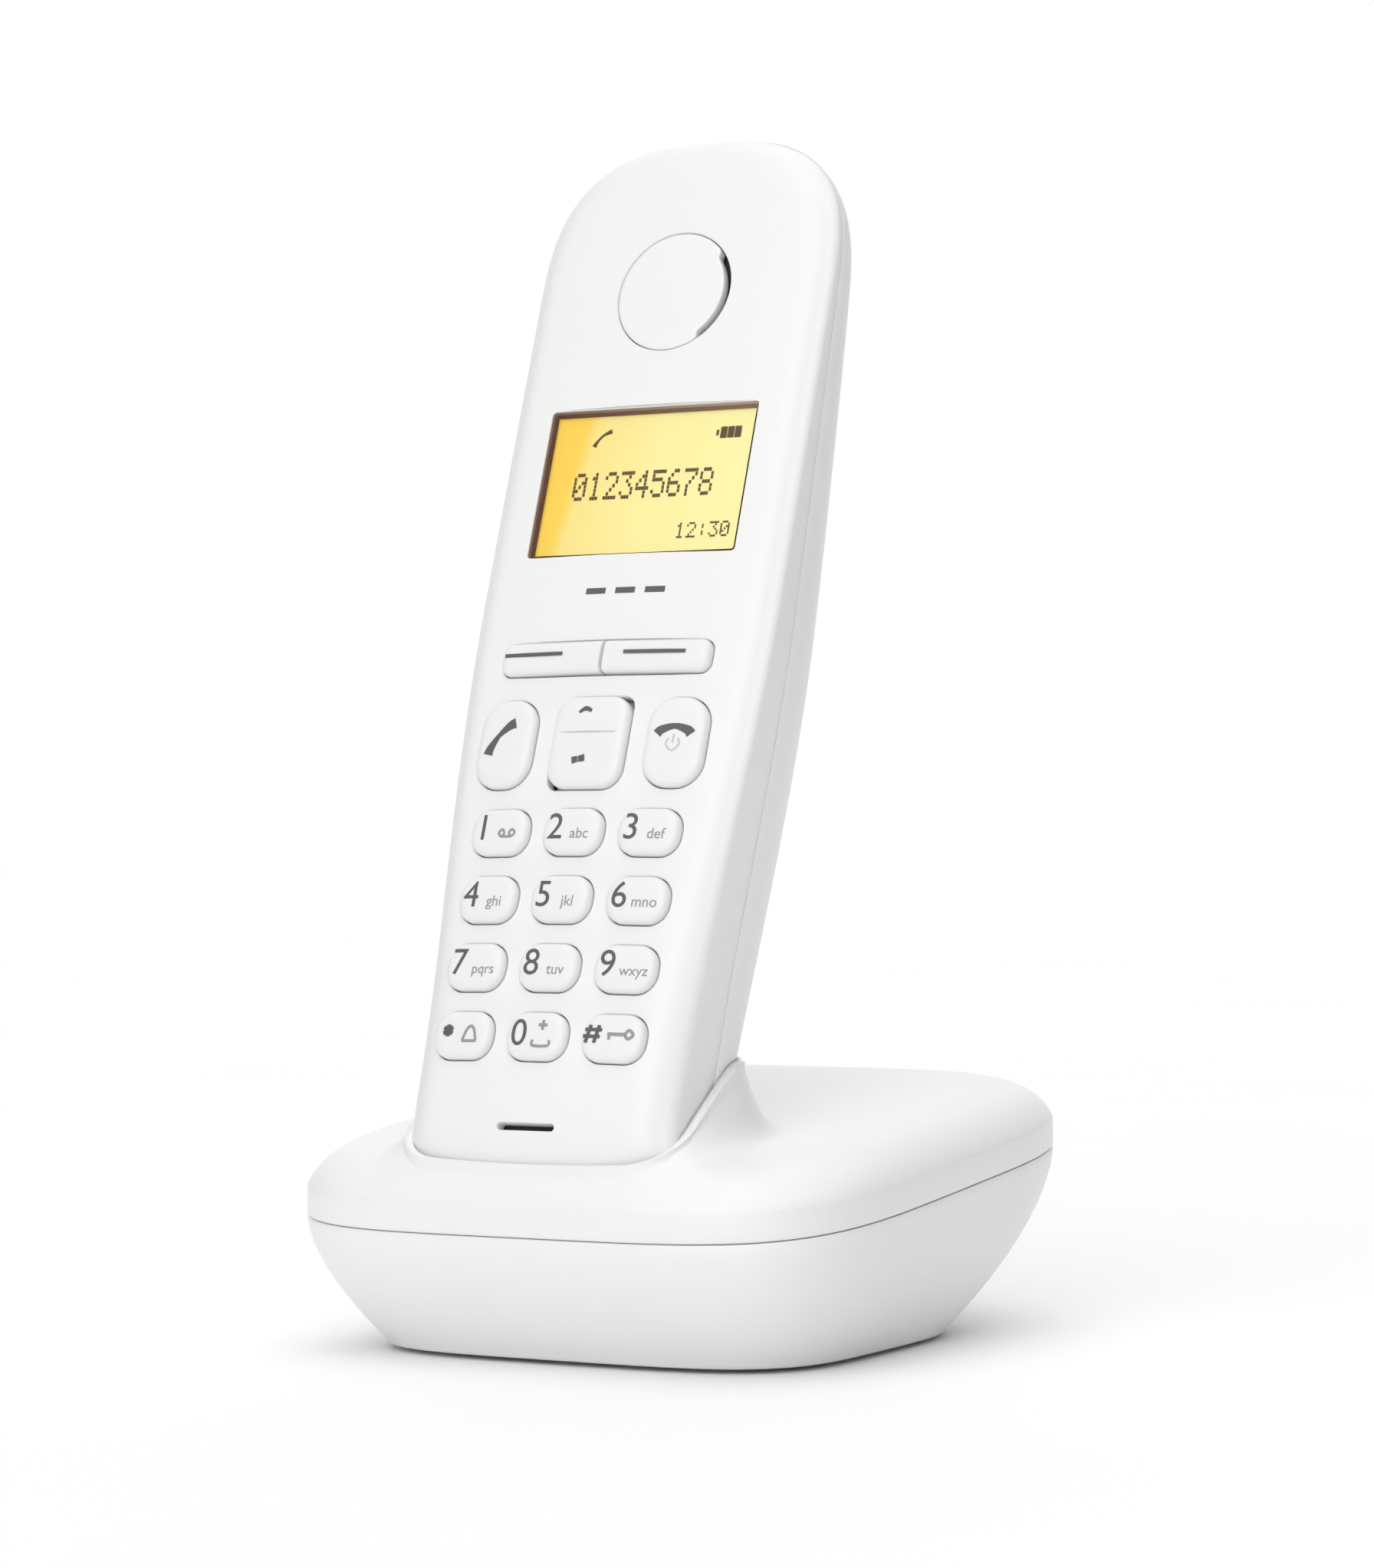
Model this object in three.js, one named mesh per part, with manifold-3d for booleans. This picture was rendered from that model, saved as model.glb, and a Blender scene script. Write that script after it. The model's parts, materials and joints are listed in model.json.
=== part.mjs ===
// A cordless telephone: a slim handset that leans back in the pocket of a low charging base.
// Millimetres, +Z up, +Y to the back. The origin is on the table, under the middle of the base.
import * as THREE from "three";
import { mergeVertices } from "three/addons/utils/BufferGeometryUtils.js";
import Module from "manifold-3d";

const wasm = await Module();
wasm.setup();

// ---- driving dimensions -------------------------------------------------------------------------

// Base: plan outlines are superellipses, one at the seam between its shells and one at the foot.
const SEAM_HALF_X = 44.8, SEAM_HALF_Y = 46.6, SEAM_POWER = 4.3;
const FOOT_HALF_X = 35.7, FOOT_HALF_Y = 30.8, FOOT_POWER = 4.1, FOOT_SHIFT = -5.8;
const FOOT_GAP = 0.6; // the lower shell stands this far off the table, on its rubber feet
const SEAM_Z = 22.8, SEAM_SLOPE = 0.096; // height of the seam at y = 0, and its rise to the back
const FLARE_POWER = 1.6; // how the lower shell swells from foot to seam
const CROWN = 10.2; // top surface above the seam
const BASE_WALL = 2.0;
const GAP = 0.3; // clearance between pieces that touch

// Handset: its own frame has X across, Y from the face to the back, Z along its length.
const LEAN = THREE.MathUtils.degToRad(19.7);
const HANDSET_AT = [0, -38.9, 45.2]; // middle of the face, level with the lowest row of keys
const HANDSET_BOTTOM = -24, HANDSET_TOP = 135.7;
const HALF_WIDTH = 24.3, WAIST = 3.3; // half width of the upper part, and what the lower part loses
const HANDSET_WALL = 2.0;
const FACE_RADIUS = 233; // the face is slightly barrelled across
const CHIN_FROM = -6, CHIN_CURL = 0.0128; // below this the face curls back into the cradle
const DEEPEST_AT = 20, DEPTH = 24.5; // the back is fullest here
const SEAM_DEPTH = 11.7, SEAM_TAPER = 0.062; // the handset's seam, from the face plane
const BACK_ROUND = 11;

// Keypad
const KEYPAD_U = -0.5, COLUMN = 12, ROW = 9.78, LOWEST_ROW = -0.3;
const KEY = [9.4, 6.7, 2.7], TALL_KEY = [9.1, 13, 3.6], ROCKER = [11.8, 13.4, 2.6];
const TALL_ROW = 42.1, TALL_COLUMN = 13.7;
const SOFT_KEY = [16.7, 4.7, 1.5], SOFT_ROW = 54.8, SOFT_COLUMN = 8.5;
const KEY_PROUD = 1.15, KEY_FLANGE = 0.5, KEY_CLEAR = 0.3;

// Display, earpiece and microphone
const WINDOW = [33.8, 22.5], WINDOW_AT = 81.85;
const EARPIECE_AT = 110.9, EARPIECE_RADIUS = 9.2, SLIT_WIDTH = 0.9, SLIT_DOWN = 0.99, SLIT_UP = 0.73;
const RINGER_AT = 84, SOUND_SLOT = [14, 1.4, 0.6], SOUND_PITCH = 3.6, SOUND_TAPER = 2.5;
const MICROPHONE_AT = -13, MICROPHONE_SLOT = [9.4, 1.2, 0.6];

// Layers behind the face, by depth from the face plane
const OPENING = [-3, 6]; // the depths between which the face's openings are cut
const CAP = { from: 0.15, to: 1.9 };
const PANE = { from: 0.9, to: 1.5, beyond: -0.3 };
const MODULE = { from: 1.8, to: 5.3, beyond: -0.3 };
const MAT = { size: [37, 64, 3], from: 4.6, to: 5, at: 26.6 };
const PANEL = { size: [34, 106, 4], from: 5.7, to: 6.9, at: 41.5 };
const RECEIVER = { radius: 7, from: 2.4, to: 5.4 };
const MICROPHONE = { radius: 3, from: 4.2, to: 5.4 };
const RINGER = { radius: 9, from: 12.4, to: 16 };

// Battery compartment, for two AAA cells side by side
const CELL_RADIUS = 5.25, CELL_LENGTH = 44.5, CELL_SPREAD = 5.6, CELL_DEPTH = 15.6;
const TUB = { bottom: 11.5, top: 61.6, half: 11.3, floor: 10.1, wall: 1.1 };
const COVER = { bottom: 7.5, top: 68, half: 14, round: 3, thick: 1.6 };
const LEDGE = { out: 1.6, thick: 1.2 };
const CELL_FROM_END = 4.4, SPRING_FROM_END = 0.35, PLATE_FROM_END = 49.3;
const SPRING = { turns: 2.5, radius: 2.8, taper: 1.2, rise: 2.9, wire: 0.6 };
const PLATE = { half: 3.5, thick: 0.4 };
const CLOSING = { u: 8, belowCover: 3.1, head: 2, shank: 1, seat: 0.3 }; // the handset's two screws

// Cradle
const POCKET_CLEAR = 0.6, POCKET_WALL = 1.8;
const RIM_Z = 26.2, RIM_SLOPE = 0.72, RIM_TOP = 41.5, RIM_FRONT = -46.2;
const CONTACT_U = 9, CONTACT_DEPTH = 16.5, CONTACT_HALF = 2, CONTACT_TOP = -19.9;
const STRIP = { tip: -23.6, foot: -31.5, half: 0.5, width: 2.2 };

// Sockets at the back of the base: outside width and height, and the cavity's width and height
const SOCKET_DEPTH = 12.5, SOCKET_MOUTH = 30, SOCKET_FLOOR = 5.2;
const LINE_SOCKET = { x: -13, size: [13, 9.4], cavity: [9.7, 6.7] };
const POWER_SOCKET = { x: 13, size: [11, 9.4], cavity: [7.7, 6.7] };
const SOCKET_BACK = 2, SOCKET_SHELF = 1.3, RECESS_FROM = 20, BEYOND_BASE = 50;

// Fittings of the base
const FEET = [[-21.5, -22], [21.5, -22], [-21.5, 12], [21.5, 12]];
const FOOT_RADIUS = 4.5, FOOT_SINK = 0.9;
const SCREWS = [[-30, -22], [30, -22], [-27, 5], [27, 5]];
const POST_RADIUS = 3, SCREW_SHANK = 1.2, SCREW_HEAD = 2.3, HEAD_THICK = 0.9, SCREW_TOP = 13;
const BASE_BOARD = [[-24, -24, 4], [24, 20.5, 4.85]];
const PAGING = { y: 40.7, z: 18, lean: THREE.MathUtils.degToRad(-36), radius: 4.2, thick: 4.4, proud: 0.7 };

// ---- solids -------------------------------------------------------------------------------------

function solid(geometry) {
  const bare = geometry.clone();
  bare.deleteAttribute("normal");
  bare.deleteAttribute("uv");
  const merged = mergeVertices(bare, 1e-4);
  const triVerts = new Uint32Array(merged.index.array);
  const vertProperties = new Float32Array(merged.attributes.position.array);
  const made = new wasm.Manifold(new wasm.Mesh({ numProp: 3, vertProperties, triVerts }));
  if (made.volume() > 0) return made;
  for (let i = 0; i < triVerts.length; i += 3) {
    [triVerts[i + 1], triVerts[i + 2]] = [triVerts[i + 2], triVerts[i + 1]];
  }
  return new wasm.Manifold(new wasm.Mesh({ numProp: 3, vertProperties, triVerts }));
}

function geometryOf(manifold) {
  const mesh = manifold.getMesh();
  const made = new THREE.BufferGeometry();
  made.setAttribute("position", new THREE.BufferAttribute(new Float32Array(mesh.vertProperties), 3));
  made.setIndex(new THREE.BufferAttribute(new Uint32Array(mesh.triVerts), 1));
  return made;
}

// A closed skin through rings of [x, y, z] points, all with the same count. Each end ring is closed
// by a zigzag between point i and its mirror image, point count - i.
function loft(rings) {
  const count = rings[0].length;
  const faces = [];
  for (let i = 0; i < count; i++) {
    const j = (i + 1) % count;
    for (let r = 0; r + 1 < rings.length; r++) {
      const low = r * count, high = low + count;
      faces.push(low + i, low + j, high + j, low + i, high + j, high + i);
    }
  }
  const close = (start, turned) => {
    const add = (...corners) => {
      const ordered = turned ? corners.reverse() : corners;
      faces.push(...ordered.map((k) => start + (k % count)));
    };
    for (let i = 0; 2 * i + 1 < count; i++) {
      if (2 * i + 2 < count) add(i, i + 1, count - i - 1);
      if (i > 0) add(i, count - i - 1, count - i);
    }
  };
  close(0, true);
  close(count * (rings.length - 1), false);
  const made = new THREE.BufferGeometry();
  made.setAttribute("position", new THREE.Float32BufferAttribute(rings.flat(2), 3));
  made.setIndex(faces);
  return made;
}

const box = (from, to) => {
  const size = to.map((t, k) => t - from[k]);
  const middle = to.map((t, k) => (t + from[k]) / 2);
  return new THREE.BoxGeometry(...size).translate(...middle);
};
const cylinder = (radius, from, to, sides = 20) =>
  new THREE.CylinderGeometry(radius, radius, to - from, sides)
    .rotateX(Math.PI / 2).translate(0, 0, (from + to) / 2);

// Points of a rounded rectangle about the origin, anticlockwise.
function roundedRing([width, height, radius], grow = 0, segments = 2) {
  const r = Math.max(radius + grow, 0.2);
  const x = width / 2 + grow - r, y = height / 2 + grow - r;
  const corners = [[x, y], [-x, y], [-x, -y], [x, -y]];
  return corners.flatMap(([cx, cy], quarter) =>
    Array.from({ length: segments + 1 }, (_, k) => {
      const angle = ((quarter + k / segments) * Math.PI) / 2;
      return [cx + r * Math.cos(angle), cy + r * Math.sin(angle)];
    }));
}

// A prism through the handset's face or back: ring in the X-Z plane, depths along Y.
const facePrism = (ring, from, to, u = 0, v = 0) =>
  loft([from, to].map((depth) => ring.map(([x, z]) => [u + x, depth, v + z])));

// ---- base shape ---------------------------------------------------------------------------------

const seamHeight = (y) => SEAM_Z + SEAM_SLOPE * y;

function superellipse(halfX, halfY, power, shift, points = 32) {
  return Array.from({ length: points }, (_, k) => {
    const angle = (k / points) * 2 * Math.PI;
    const c = Math.cos(angle), s = Math.sin(angle);
    return [
      halfX * Math.sign(c) * Math.abs(c) ** (2 / power),
      shift + halfY * Math.sign(s) * Math.abs(s) ** (2 / power),
    ];
  });
}

const FLARE = [1.02, 1, 0.75, 0.45, 0.18, 0]; // steps down the lower shell; past 1 it is the foot's edge
const FOOT_EDGE = { trim: 0.9, rise: 0.7 };
const SHOULDER = [[0.3, 4.7], [1.6, 6.7], [3.8, 8.5], [7.5, 9.6], [20, CROWN]]; // drawn in, and rise

// The base's outer form, or with an inset the space inside a wall of that thickness.
function baseForm(inset) {
  const rings = [];
  for (const down of FLARE) {
    const share = Math.min(down, 1) ** FLARE_POWER;
    const trim = inset + (down > 1 ? FOOT_EDGE.trim : 0);
    const outline = superellipse(
      SEAM_HALF_X + (FOOT_HALF_X - SEAM_HALF_X) * share - trim,
      SEAM_HALF_Y + (FOOT_HALF_Y - SEAM_HALF_Y) * share - trim,
      SEAM_POWER + (FOOT_POWER - SEAM_POWER) * share,
      FOOT_SHIFT * share);
    const low = FOOT_GAP + inset + (down > 1 ? 0 : FOOT_EDGE.rise);
    rings.push(outline.map(([x, y]) => [x, y, low + (1 - Math.min(down, 1)) * (seamHeight(y) - low)]));
  }
  for (const [trim, rise] of SHOULDER) {
    const outline = superellipse(SEAM_HALF_X - trim - inset, SEAM_HALF_Y - trim - inset, SEAM_POWER, 0);
    rings.push(outline.map(([x, y]) => [x, y, seamHeight(y) + rise * (1 - inset / CROWN)]));
  }
  return solid(loft(rings));
}

// The rise behind the handset: rings spread out from the rim of the pocket down to the top surface.
const HUMP = { spread: 8, backSpread: 2.6, halfX: 24.2, front: -37, back: -13.7, power: 3.4, sink: 0.6 };
const HUMP_STEPS = [HUMP.spread, 5.6, 3.6, 1.9, 0.7, 0]; // how far out each ring lies
const HUMP_FALL = 1.8;

function humpForm(inset) {
  const back = HUMP.back - inset;
  const rimHeight = (y) => Math.min(RIM_Z + RIM_SLOPE * (y - RIM_FRONT), RIM_TOP) - inset;
  const crownHeight = (y) => seamHeight(y) + CROWN - HUMP.sink - inset;
  const outline = (out) => {
    const rear = back + HUMP.backSpread * out;
    const middle = (rear + HUMP.front) / 2, half = (rear - HUMP.front) / 2;
    return superellipse(HUMP.halfX - inset + out, half, HUMP.power, middle, 28);
  };
  const inner = outline(0);
  const rings = [outline(HUMP.spread).map(([x, y]) => [x, y, seamHeight(y) + 3])];
  for (const out of HUMP_STEPS) {
    const share = (1 - out / HUMP.spread) ** HUMP_FALL;
    rings.push(outline(out).map(([x, y], k) => {
      const rise = rimHeight(inner[k][1]) - crownHeight(inner[k][1]);
      return [x, y, crownHeight(y) + rise * share];
    }));
  }
  return solid(loft(rings));
}

// ---- handset shape ------------------------------------------------------------------------------

const smooth = (t) => { const s = Math.min(Math.max(t, 0), 1); return s * s * (3 - 2 * s); };
const handsetSeam = (v) => SEAM_DEPTH - SEAM_TAPER * v;
const handsetDepth = (v) => DEPTH - (v > DEEPEST_AT ? 0.00107 : 0.0022) * (v - DEEPEST_AT) ** 2;
const barrel = (u) => (u * u) / (2 * FACE_RADIUS);
const chin = (v) => CHIN_CURL * Math.min(v - CHIN_FROM, 0) ** 2;

function halfWidthAt(v) {
  const straight = HALF_WIDTH - WAIST * (1 - smooth((v + 10) / 75));
  const cap = (from, to, power) =>
    Math.max(1 - Math.abs((v - from) / (to - from)) ** power, 0) ** (1 / power);
  if (v > 112) return straight * cap(112, HANDSET_TOP, 2.8);
  if (v < -16) return straight * cap(-16, HANDSET_BOTTOM, 2.5);
  return straight;
}

const OUTLINE_STEPS = [-23.8, -22.7, -20.5, -16.5, -8, 8, 32, 50, 65, 112, 121, 127.5, 132, 134.9];

function handsetOutline() {
  const right = OUTLINE_STEPS.map((v) => [halfWidthAt(v), v]);
  const left = [...right].reverse().map(([u, v]) => [-u, v]);
  return [[0, HANDSET_BOTTOM], ...right, [0, HANDSET_TOP], ...left];
}

// One ring of the handset: the outline drawn in by trim, at a depth that follows its place.
function handsetRing(trim, endShare, depthAt) {
  const middle = (HANDSET_TOP + HANDSET_BOTTOM) / 2, half = (HANDSET_TOP - HANDSET_BOTTOM) / 2;
  return handsetOutline().map(([u, v]) => {
    const x = u * (1 - trim / HALF_WIDTH);
    const z = middle + (v - middle) * (1 - (trim * endShare) / half);
    return [x, depthAt(z, x), z];
  });
}

const FACE_EDGE = [[12, 0], [2.4, 0], [0.9, 0.7], [0.08, 2.6]]; // drawn in, and depth
const EDGE_DEPTH = 2.6;
const BACK_POWER = 2.2, BACK_FLAT = 18, END_SHARE = 0.55; // the ends of the back draw in less than its sides

function handsetForm(inset) {
  const rings = FACE_EDGE.map(([trim, depth]) =>
    handsetRing(trim + inset, 1, (v, u) =>
      inset + depth * (1 - inset / handsetSeam(v)) + barrel(u) * (1 - depth / EDGE_DEPTH) + chin(v)));
  rings.push(handsetRing(inset, 1, handsetSeam));
  for (const share of [0.4, 0.7, 0.92, 1]) {
    const trim = BACK_ROUND * (1 - (1 - share ** BACK_POWER) ** (1 / BACK_POWER));
    rings.push(handsetRing(trim + inset, END_SHARE, (v) => {
      const seam = handsetSeam(v);
      return seam + (handsetDepth(v) - inset - seam) * share;
    }));
  }
  rings.push(handsetRing(BACK_FLAT, END_SHARE, (v) => handsetDepth(v) - inset));
  return solid(loft(rings));
}

// ---- materials and the two groups ---------------------------------------------------------------

const paint = (color, roughness, metalness = 0) =>
  new THREE.MeshStandardMaterial({ color, roughness, metalness });
const WHITE = paint(0xf4f4f2, 0.3), KEY_WHITE = paint(0xefefee, 0.45), AMBER = paint(0xffc04a, 0.4);
const CLEAR = paint(0xfff2d0, 0.08), BOARD = paint(0x2c6b45, 0.6), BLACK = paint(0x1c1c1e, 0.5);
const METAL = paint(0xc9b27a, 0.3, 1), STEEL = paint(0xb8babc, 0.35, 1), RUBBER = paint(0x2a2a2b, 0.9);
const SILICONE = paint(0xd8d8d6, 0.8), CELL = paint(0x4a8a4c, 0.4);

const phone = new THREE.Group();
const handset = new THREE.Group();
handset.position.set(...HANDSET_AT);
handset.rotation.x = -LEAN;
phone.add(handset);

function piece(parent, name, shape, material) {
  const mesh = new THREE.Mesh(geometryOf(shape.isBufferGeometry ? solid(shape) : shape), material);
  mesh.name = name;
  parent.add(mesh);
  return mesh;
}

// Carries a solid from the handset's frame into the object's frame.
function leaned(manifold) {
  handset.updateMatrix();
  return solid(geometryOf(manifold).applyMatrix4(handset.matrix));
}

// ---- base ---------------------------------------------------------------------------------------

const seamNormal = new THREE.Vector3(0, -SEAM_SLOPE, 1);
const seamOffset = SEAM_Z / seamNormal.length();
seamNormal.normalize();
const aboveSeam = (form) => form.trimByPlane(seamNormal.toArray(), seamOffset + GAP / 2);
const belowSeam = (form) => form.trimByPlane(seamNormal.clone().negate().toArray(), -seamOffset + GAP / 2);

const pagingPlace = new THREE.Matrix4()
  .makeRotationX(-Math.PI / 2 + PAGING.lean)
  .setPosition(0, PAGING.y, PAGING.z);

// The pocket follows the handset's foot; its wall is cut off along a sloping rim.
function cradleWell() {
  const rimNormal = new THREE.Vector3(0, RIM_SLOPE, -1);
  const rimOffset = (RIM_SLOPE * RIM_FRONT - RIM_Z) / rimNormal.length();
  rimNormal.normalize();
  const wall = leaned(handsetForm(-POCKET_CLEAR - POCKET_WALL))
    .trimByPlane(rimNormal.toArray(), rimOffset)
    .trimByPlane([0, 0, -1], -RIM_TOP);
  return { wall, space: leaned(handsetForm(-POCKET_CLEAR)) };
}

function post([x, y], from, to) {
  return solid(cylinder(POST_RADIUS, from, to, 12).translate(x, y, 0));
}

// The slots in the pocket's floor through which the charging strips rise.
function contactSlots() {
  const halfWidth = 1.2 + GAP, halfDepth = 0.6 + GAP;
  return [-1, 1].map((side) => leaned(solid(box(
    [side * CONTACT_U - halfWidth, CONTACT_DEPTH - halfDepth, -60],
    [side * CONTACT_U + halfWidth, CONTACT_DEPTH + halfDepth, -15]))));
}

function buildBase() {
  const outer = baseForm(0), inner = baseForm(BASE_WALL);
  const well = cradleWell();
  const envelope = baseForm(0.25).add(solid(loft([10, 60].map((z) =>
    superellipse(SEAM_HALF_X - 3.2, SEAM_HALF_Y - 3.2, SEAM_POWER, 0).map(([x, y]) => [x, y, z])))));
  let top = aboveSeam(outer.add(humpForm(0)).subtract(inner.add(humpForm(BASE_WALL))));
  top = top.add(well.wall.intersect(envelope));
  for (const place of SCREWS) {
    const reach = seamHeight(place[1]) + CROWN - 0.8;
    top = top.add(post(place, FOOT_GAP + BASE_WALL + 2, reach));
    top = top.subtract(solid(cylinder(SCREW_SHANK, 0, 16, 10).translate(...place, 0)));
  }
  top = top.subtract(well.space);
  for (const slot of contactSlots()) top = top.subtract(slot);
  piece(phone, "base_top_shell", top, WHITE);

  let bottom = belowSeam(outer.subtract(inner));
  for (const [x, y] of FEET) {
    const recess = cylinder(FOOT_RADIUS + GAP, 0, FOOT_GAP + FOOT_SINK + GAP, 20);
    bottom = bottom.subtract(solid(recess.translate(x, y, 0)));
    piece(phone, `rubber_foot_${y < 0 ? "front" : "rear"}_${x < 0 ? "left" : "right"}`,
      cylinder(FOOT_RADIUS, 0, FOOT_GAP + FOOT_SINK, 20).translate(x, y, 0), RUBBER);
  }
  for (const [x, y] of SCREWS) {
    bottom = bottom.subtract(solid(cylinder(SCREW_SHANK + GAP, 0, 6, 10).translate(x, y, 0)));
    bottom = bottom.subtract(solid(cylinder(SCREW_HEAD + GAP, 0, FOOT_GAP + 1.2, 12).translate(x, y, 0)));
    const head = solid(cylinder(SCREW_HEAD, FOOT_GAP, FOOT_GAP + HEAD_THICK, 12));
    const screw = head.add(solid(cylinder(SCREW_SHANK - GAP / 2, FOOT_GAP + 0.5, SCREW_TOP, 8)))
      .subtract(solid(box([-1.4, -0.3, 0], [1.4, 0.3, FOOT_GAP + 0.5])));
    piece(phone, `base_screw_${y < 0 ? "front" : "rear"}_${x < 0 ? "left" : "right"}`, screw, STEEL)
      .position.set(x, y, 0);
  }
  for (const { x, size } of [LINE_SOCKET, POWER_SOCKET]) {
    bottom = bottom.subtract(solid(box(
      [x - size[0] / 2 - GAP, RECESS_FROM, SOCKET_FLOOR - GAP],
      [x + size[0] / 2 + GAP, BEYOND_BASE, SOCKET_FLOOR + size[1] + GAP])));
  }
  bottom = bottom.subtract(solid(cylinder(PAGING.radius + GAP, -6, 6, 20).applyMatrix4(pagingPlace)));
  piece(phone, "base_bottom_shell", bottom, WHITE);

  piece(phone, "base_circuit_board", box(...BASE_BOARD), BOARD);
  for (const [name, socket] of [["line", LINE_SOCKET], ["power", POWER_SOCKET]]) {
    const { x, size, cavity } = socket;
    const body = solid(box(
      [x - size[0] / 2, SOCKET_MOUTH - SOCKET_DEPTH, SOCKET_FLOOR],
      [x + size[0] / 2, SOCKET_MOUTH, SOCKET_FLOOR + size[1]]));
    const low = SOCKET_FLOOR + SOCKET_SHELF;
    const space = solid(box(
      [x - cavity[0] / 2, SOCKET_MOUTH - SOCKET_DEPTH + SOCKET_BACK, low],
      [x + cavity[0] / 2, BEYOND_BASE, low + cavity[1]]));
    piece(phone, `${name}_socket`, body.subtract(space), BLACK);
  }
  const cap = new THREE.LatheGeometry([
    [0, 0], [PAGING.radius - 0.9, 0], [PAGING.radius - 0.2, 0.3], [PAGING.radius, 1],
    [PAGING.radius, PAGING.thick], [0, PAGING.thick],
  ].map(([r, h]) => new THREE.Vector2(r, h)), 20).rotateX(-Math.PI / 2).translate(0, 0, PAGING.proud);
  piece(phone, "paging_key", solid(cap.applyMatrix4(pagingPlace)), KEY_WHITE);
}

// A sprung strip with a humped tip, in the handset's frame so that it meets the contact squarely.
function buildContactStrips() {
  for (const side of [-1, 1]) {
    const { tip, foot, half, width } = STRIP;
    const shape = new THREE.Shape();
    shape.moveTo(-half, foot);
    shape.lineTo(half, foot);
    shape.lineTo(half, tip - half);
    shape.absarc(0, tip - half, half, 0, Math.PI, false);
    shape.closePath();
    const strip = new THREE.ExtrudeGeometry(shape, { depth: width, bevelEnabled: false, curveSegments: 6 })
      .rotateX(Math.PI / 2).rotateZ(Math.PI / 2).translate(side * CONTACT_U - width / 2, CONTACT_DEPTH, 0);
    piece(handset, `charging_strip_${side < 0 ? "left" : "right"}`, strip, METAL);
  }
}

// ---- handset ------------------------------------------------------------------------------------

const KEY_NAMES = [["star", "0", "hash"], ["7", "8", "9"], ["4", "5", "6"], ["1", "2", "3"]];

function keyList() {
  const keys = KEY_NAMES.flatMap((names, row) => names.map((name, column) => ({
    name: `key_${name}`, size: KEY, u: KEYPAD_U + (column - 1) * COLUMN, v: LOWEST_ROW + row * ROW,
  })));
  keys.push({ name: "call_key", size: TALL_KEY, u: KEYPAD_U - TALL_COLUMN, v: TALL_ROW });
  keys.push({ name: "end_key", size: TALL_KEY, u: KEYPAD_U + TALL_COLUMN, v: TALL_ROW });
  keys.push({ name: "rocker_key", size: ROCKER, u: KEYPAD_U, v: TALL_ROW });
  for (const side of [-1, 1]) {
    const name = `soft_key_${side < 0 ? "left" : "right"}`;
    keys.push({ name, size: SOFT_KEY, u: KEYPAD_U + side * SOFT_COLUMN, v: SOFT_ROW, side });
  }
  return keys;
}

// Outline grown by, and depth: a flange under the face, a straight side, and a domed edge.
const KEY_LEVELS = [[KEY_FLANGE, 2.9], [KEY_FLANGE, 2.4], [0, 2.4], [0, -0.5], [-1.1, -KEY_PROUD]];

function keyCap({ size, u, v, side }) {
  return loft(KEY_LEVELS.map(([grow, depth]) => roundedRing(size, grow).map(([x, z]) => {
    // A soft key has no flange where it meets its twin.
    const across = side && x * side < -size[0] / 2 ? -side * size[0] / 2 : x;
    return [u + across, depth + barrel(u + across), v + z];
  })));
}

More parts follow.
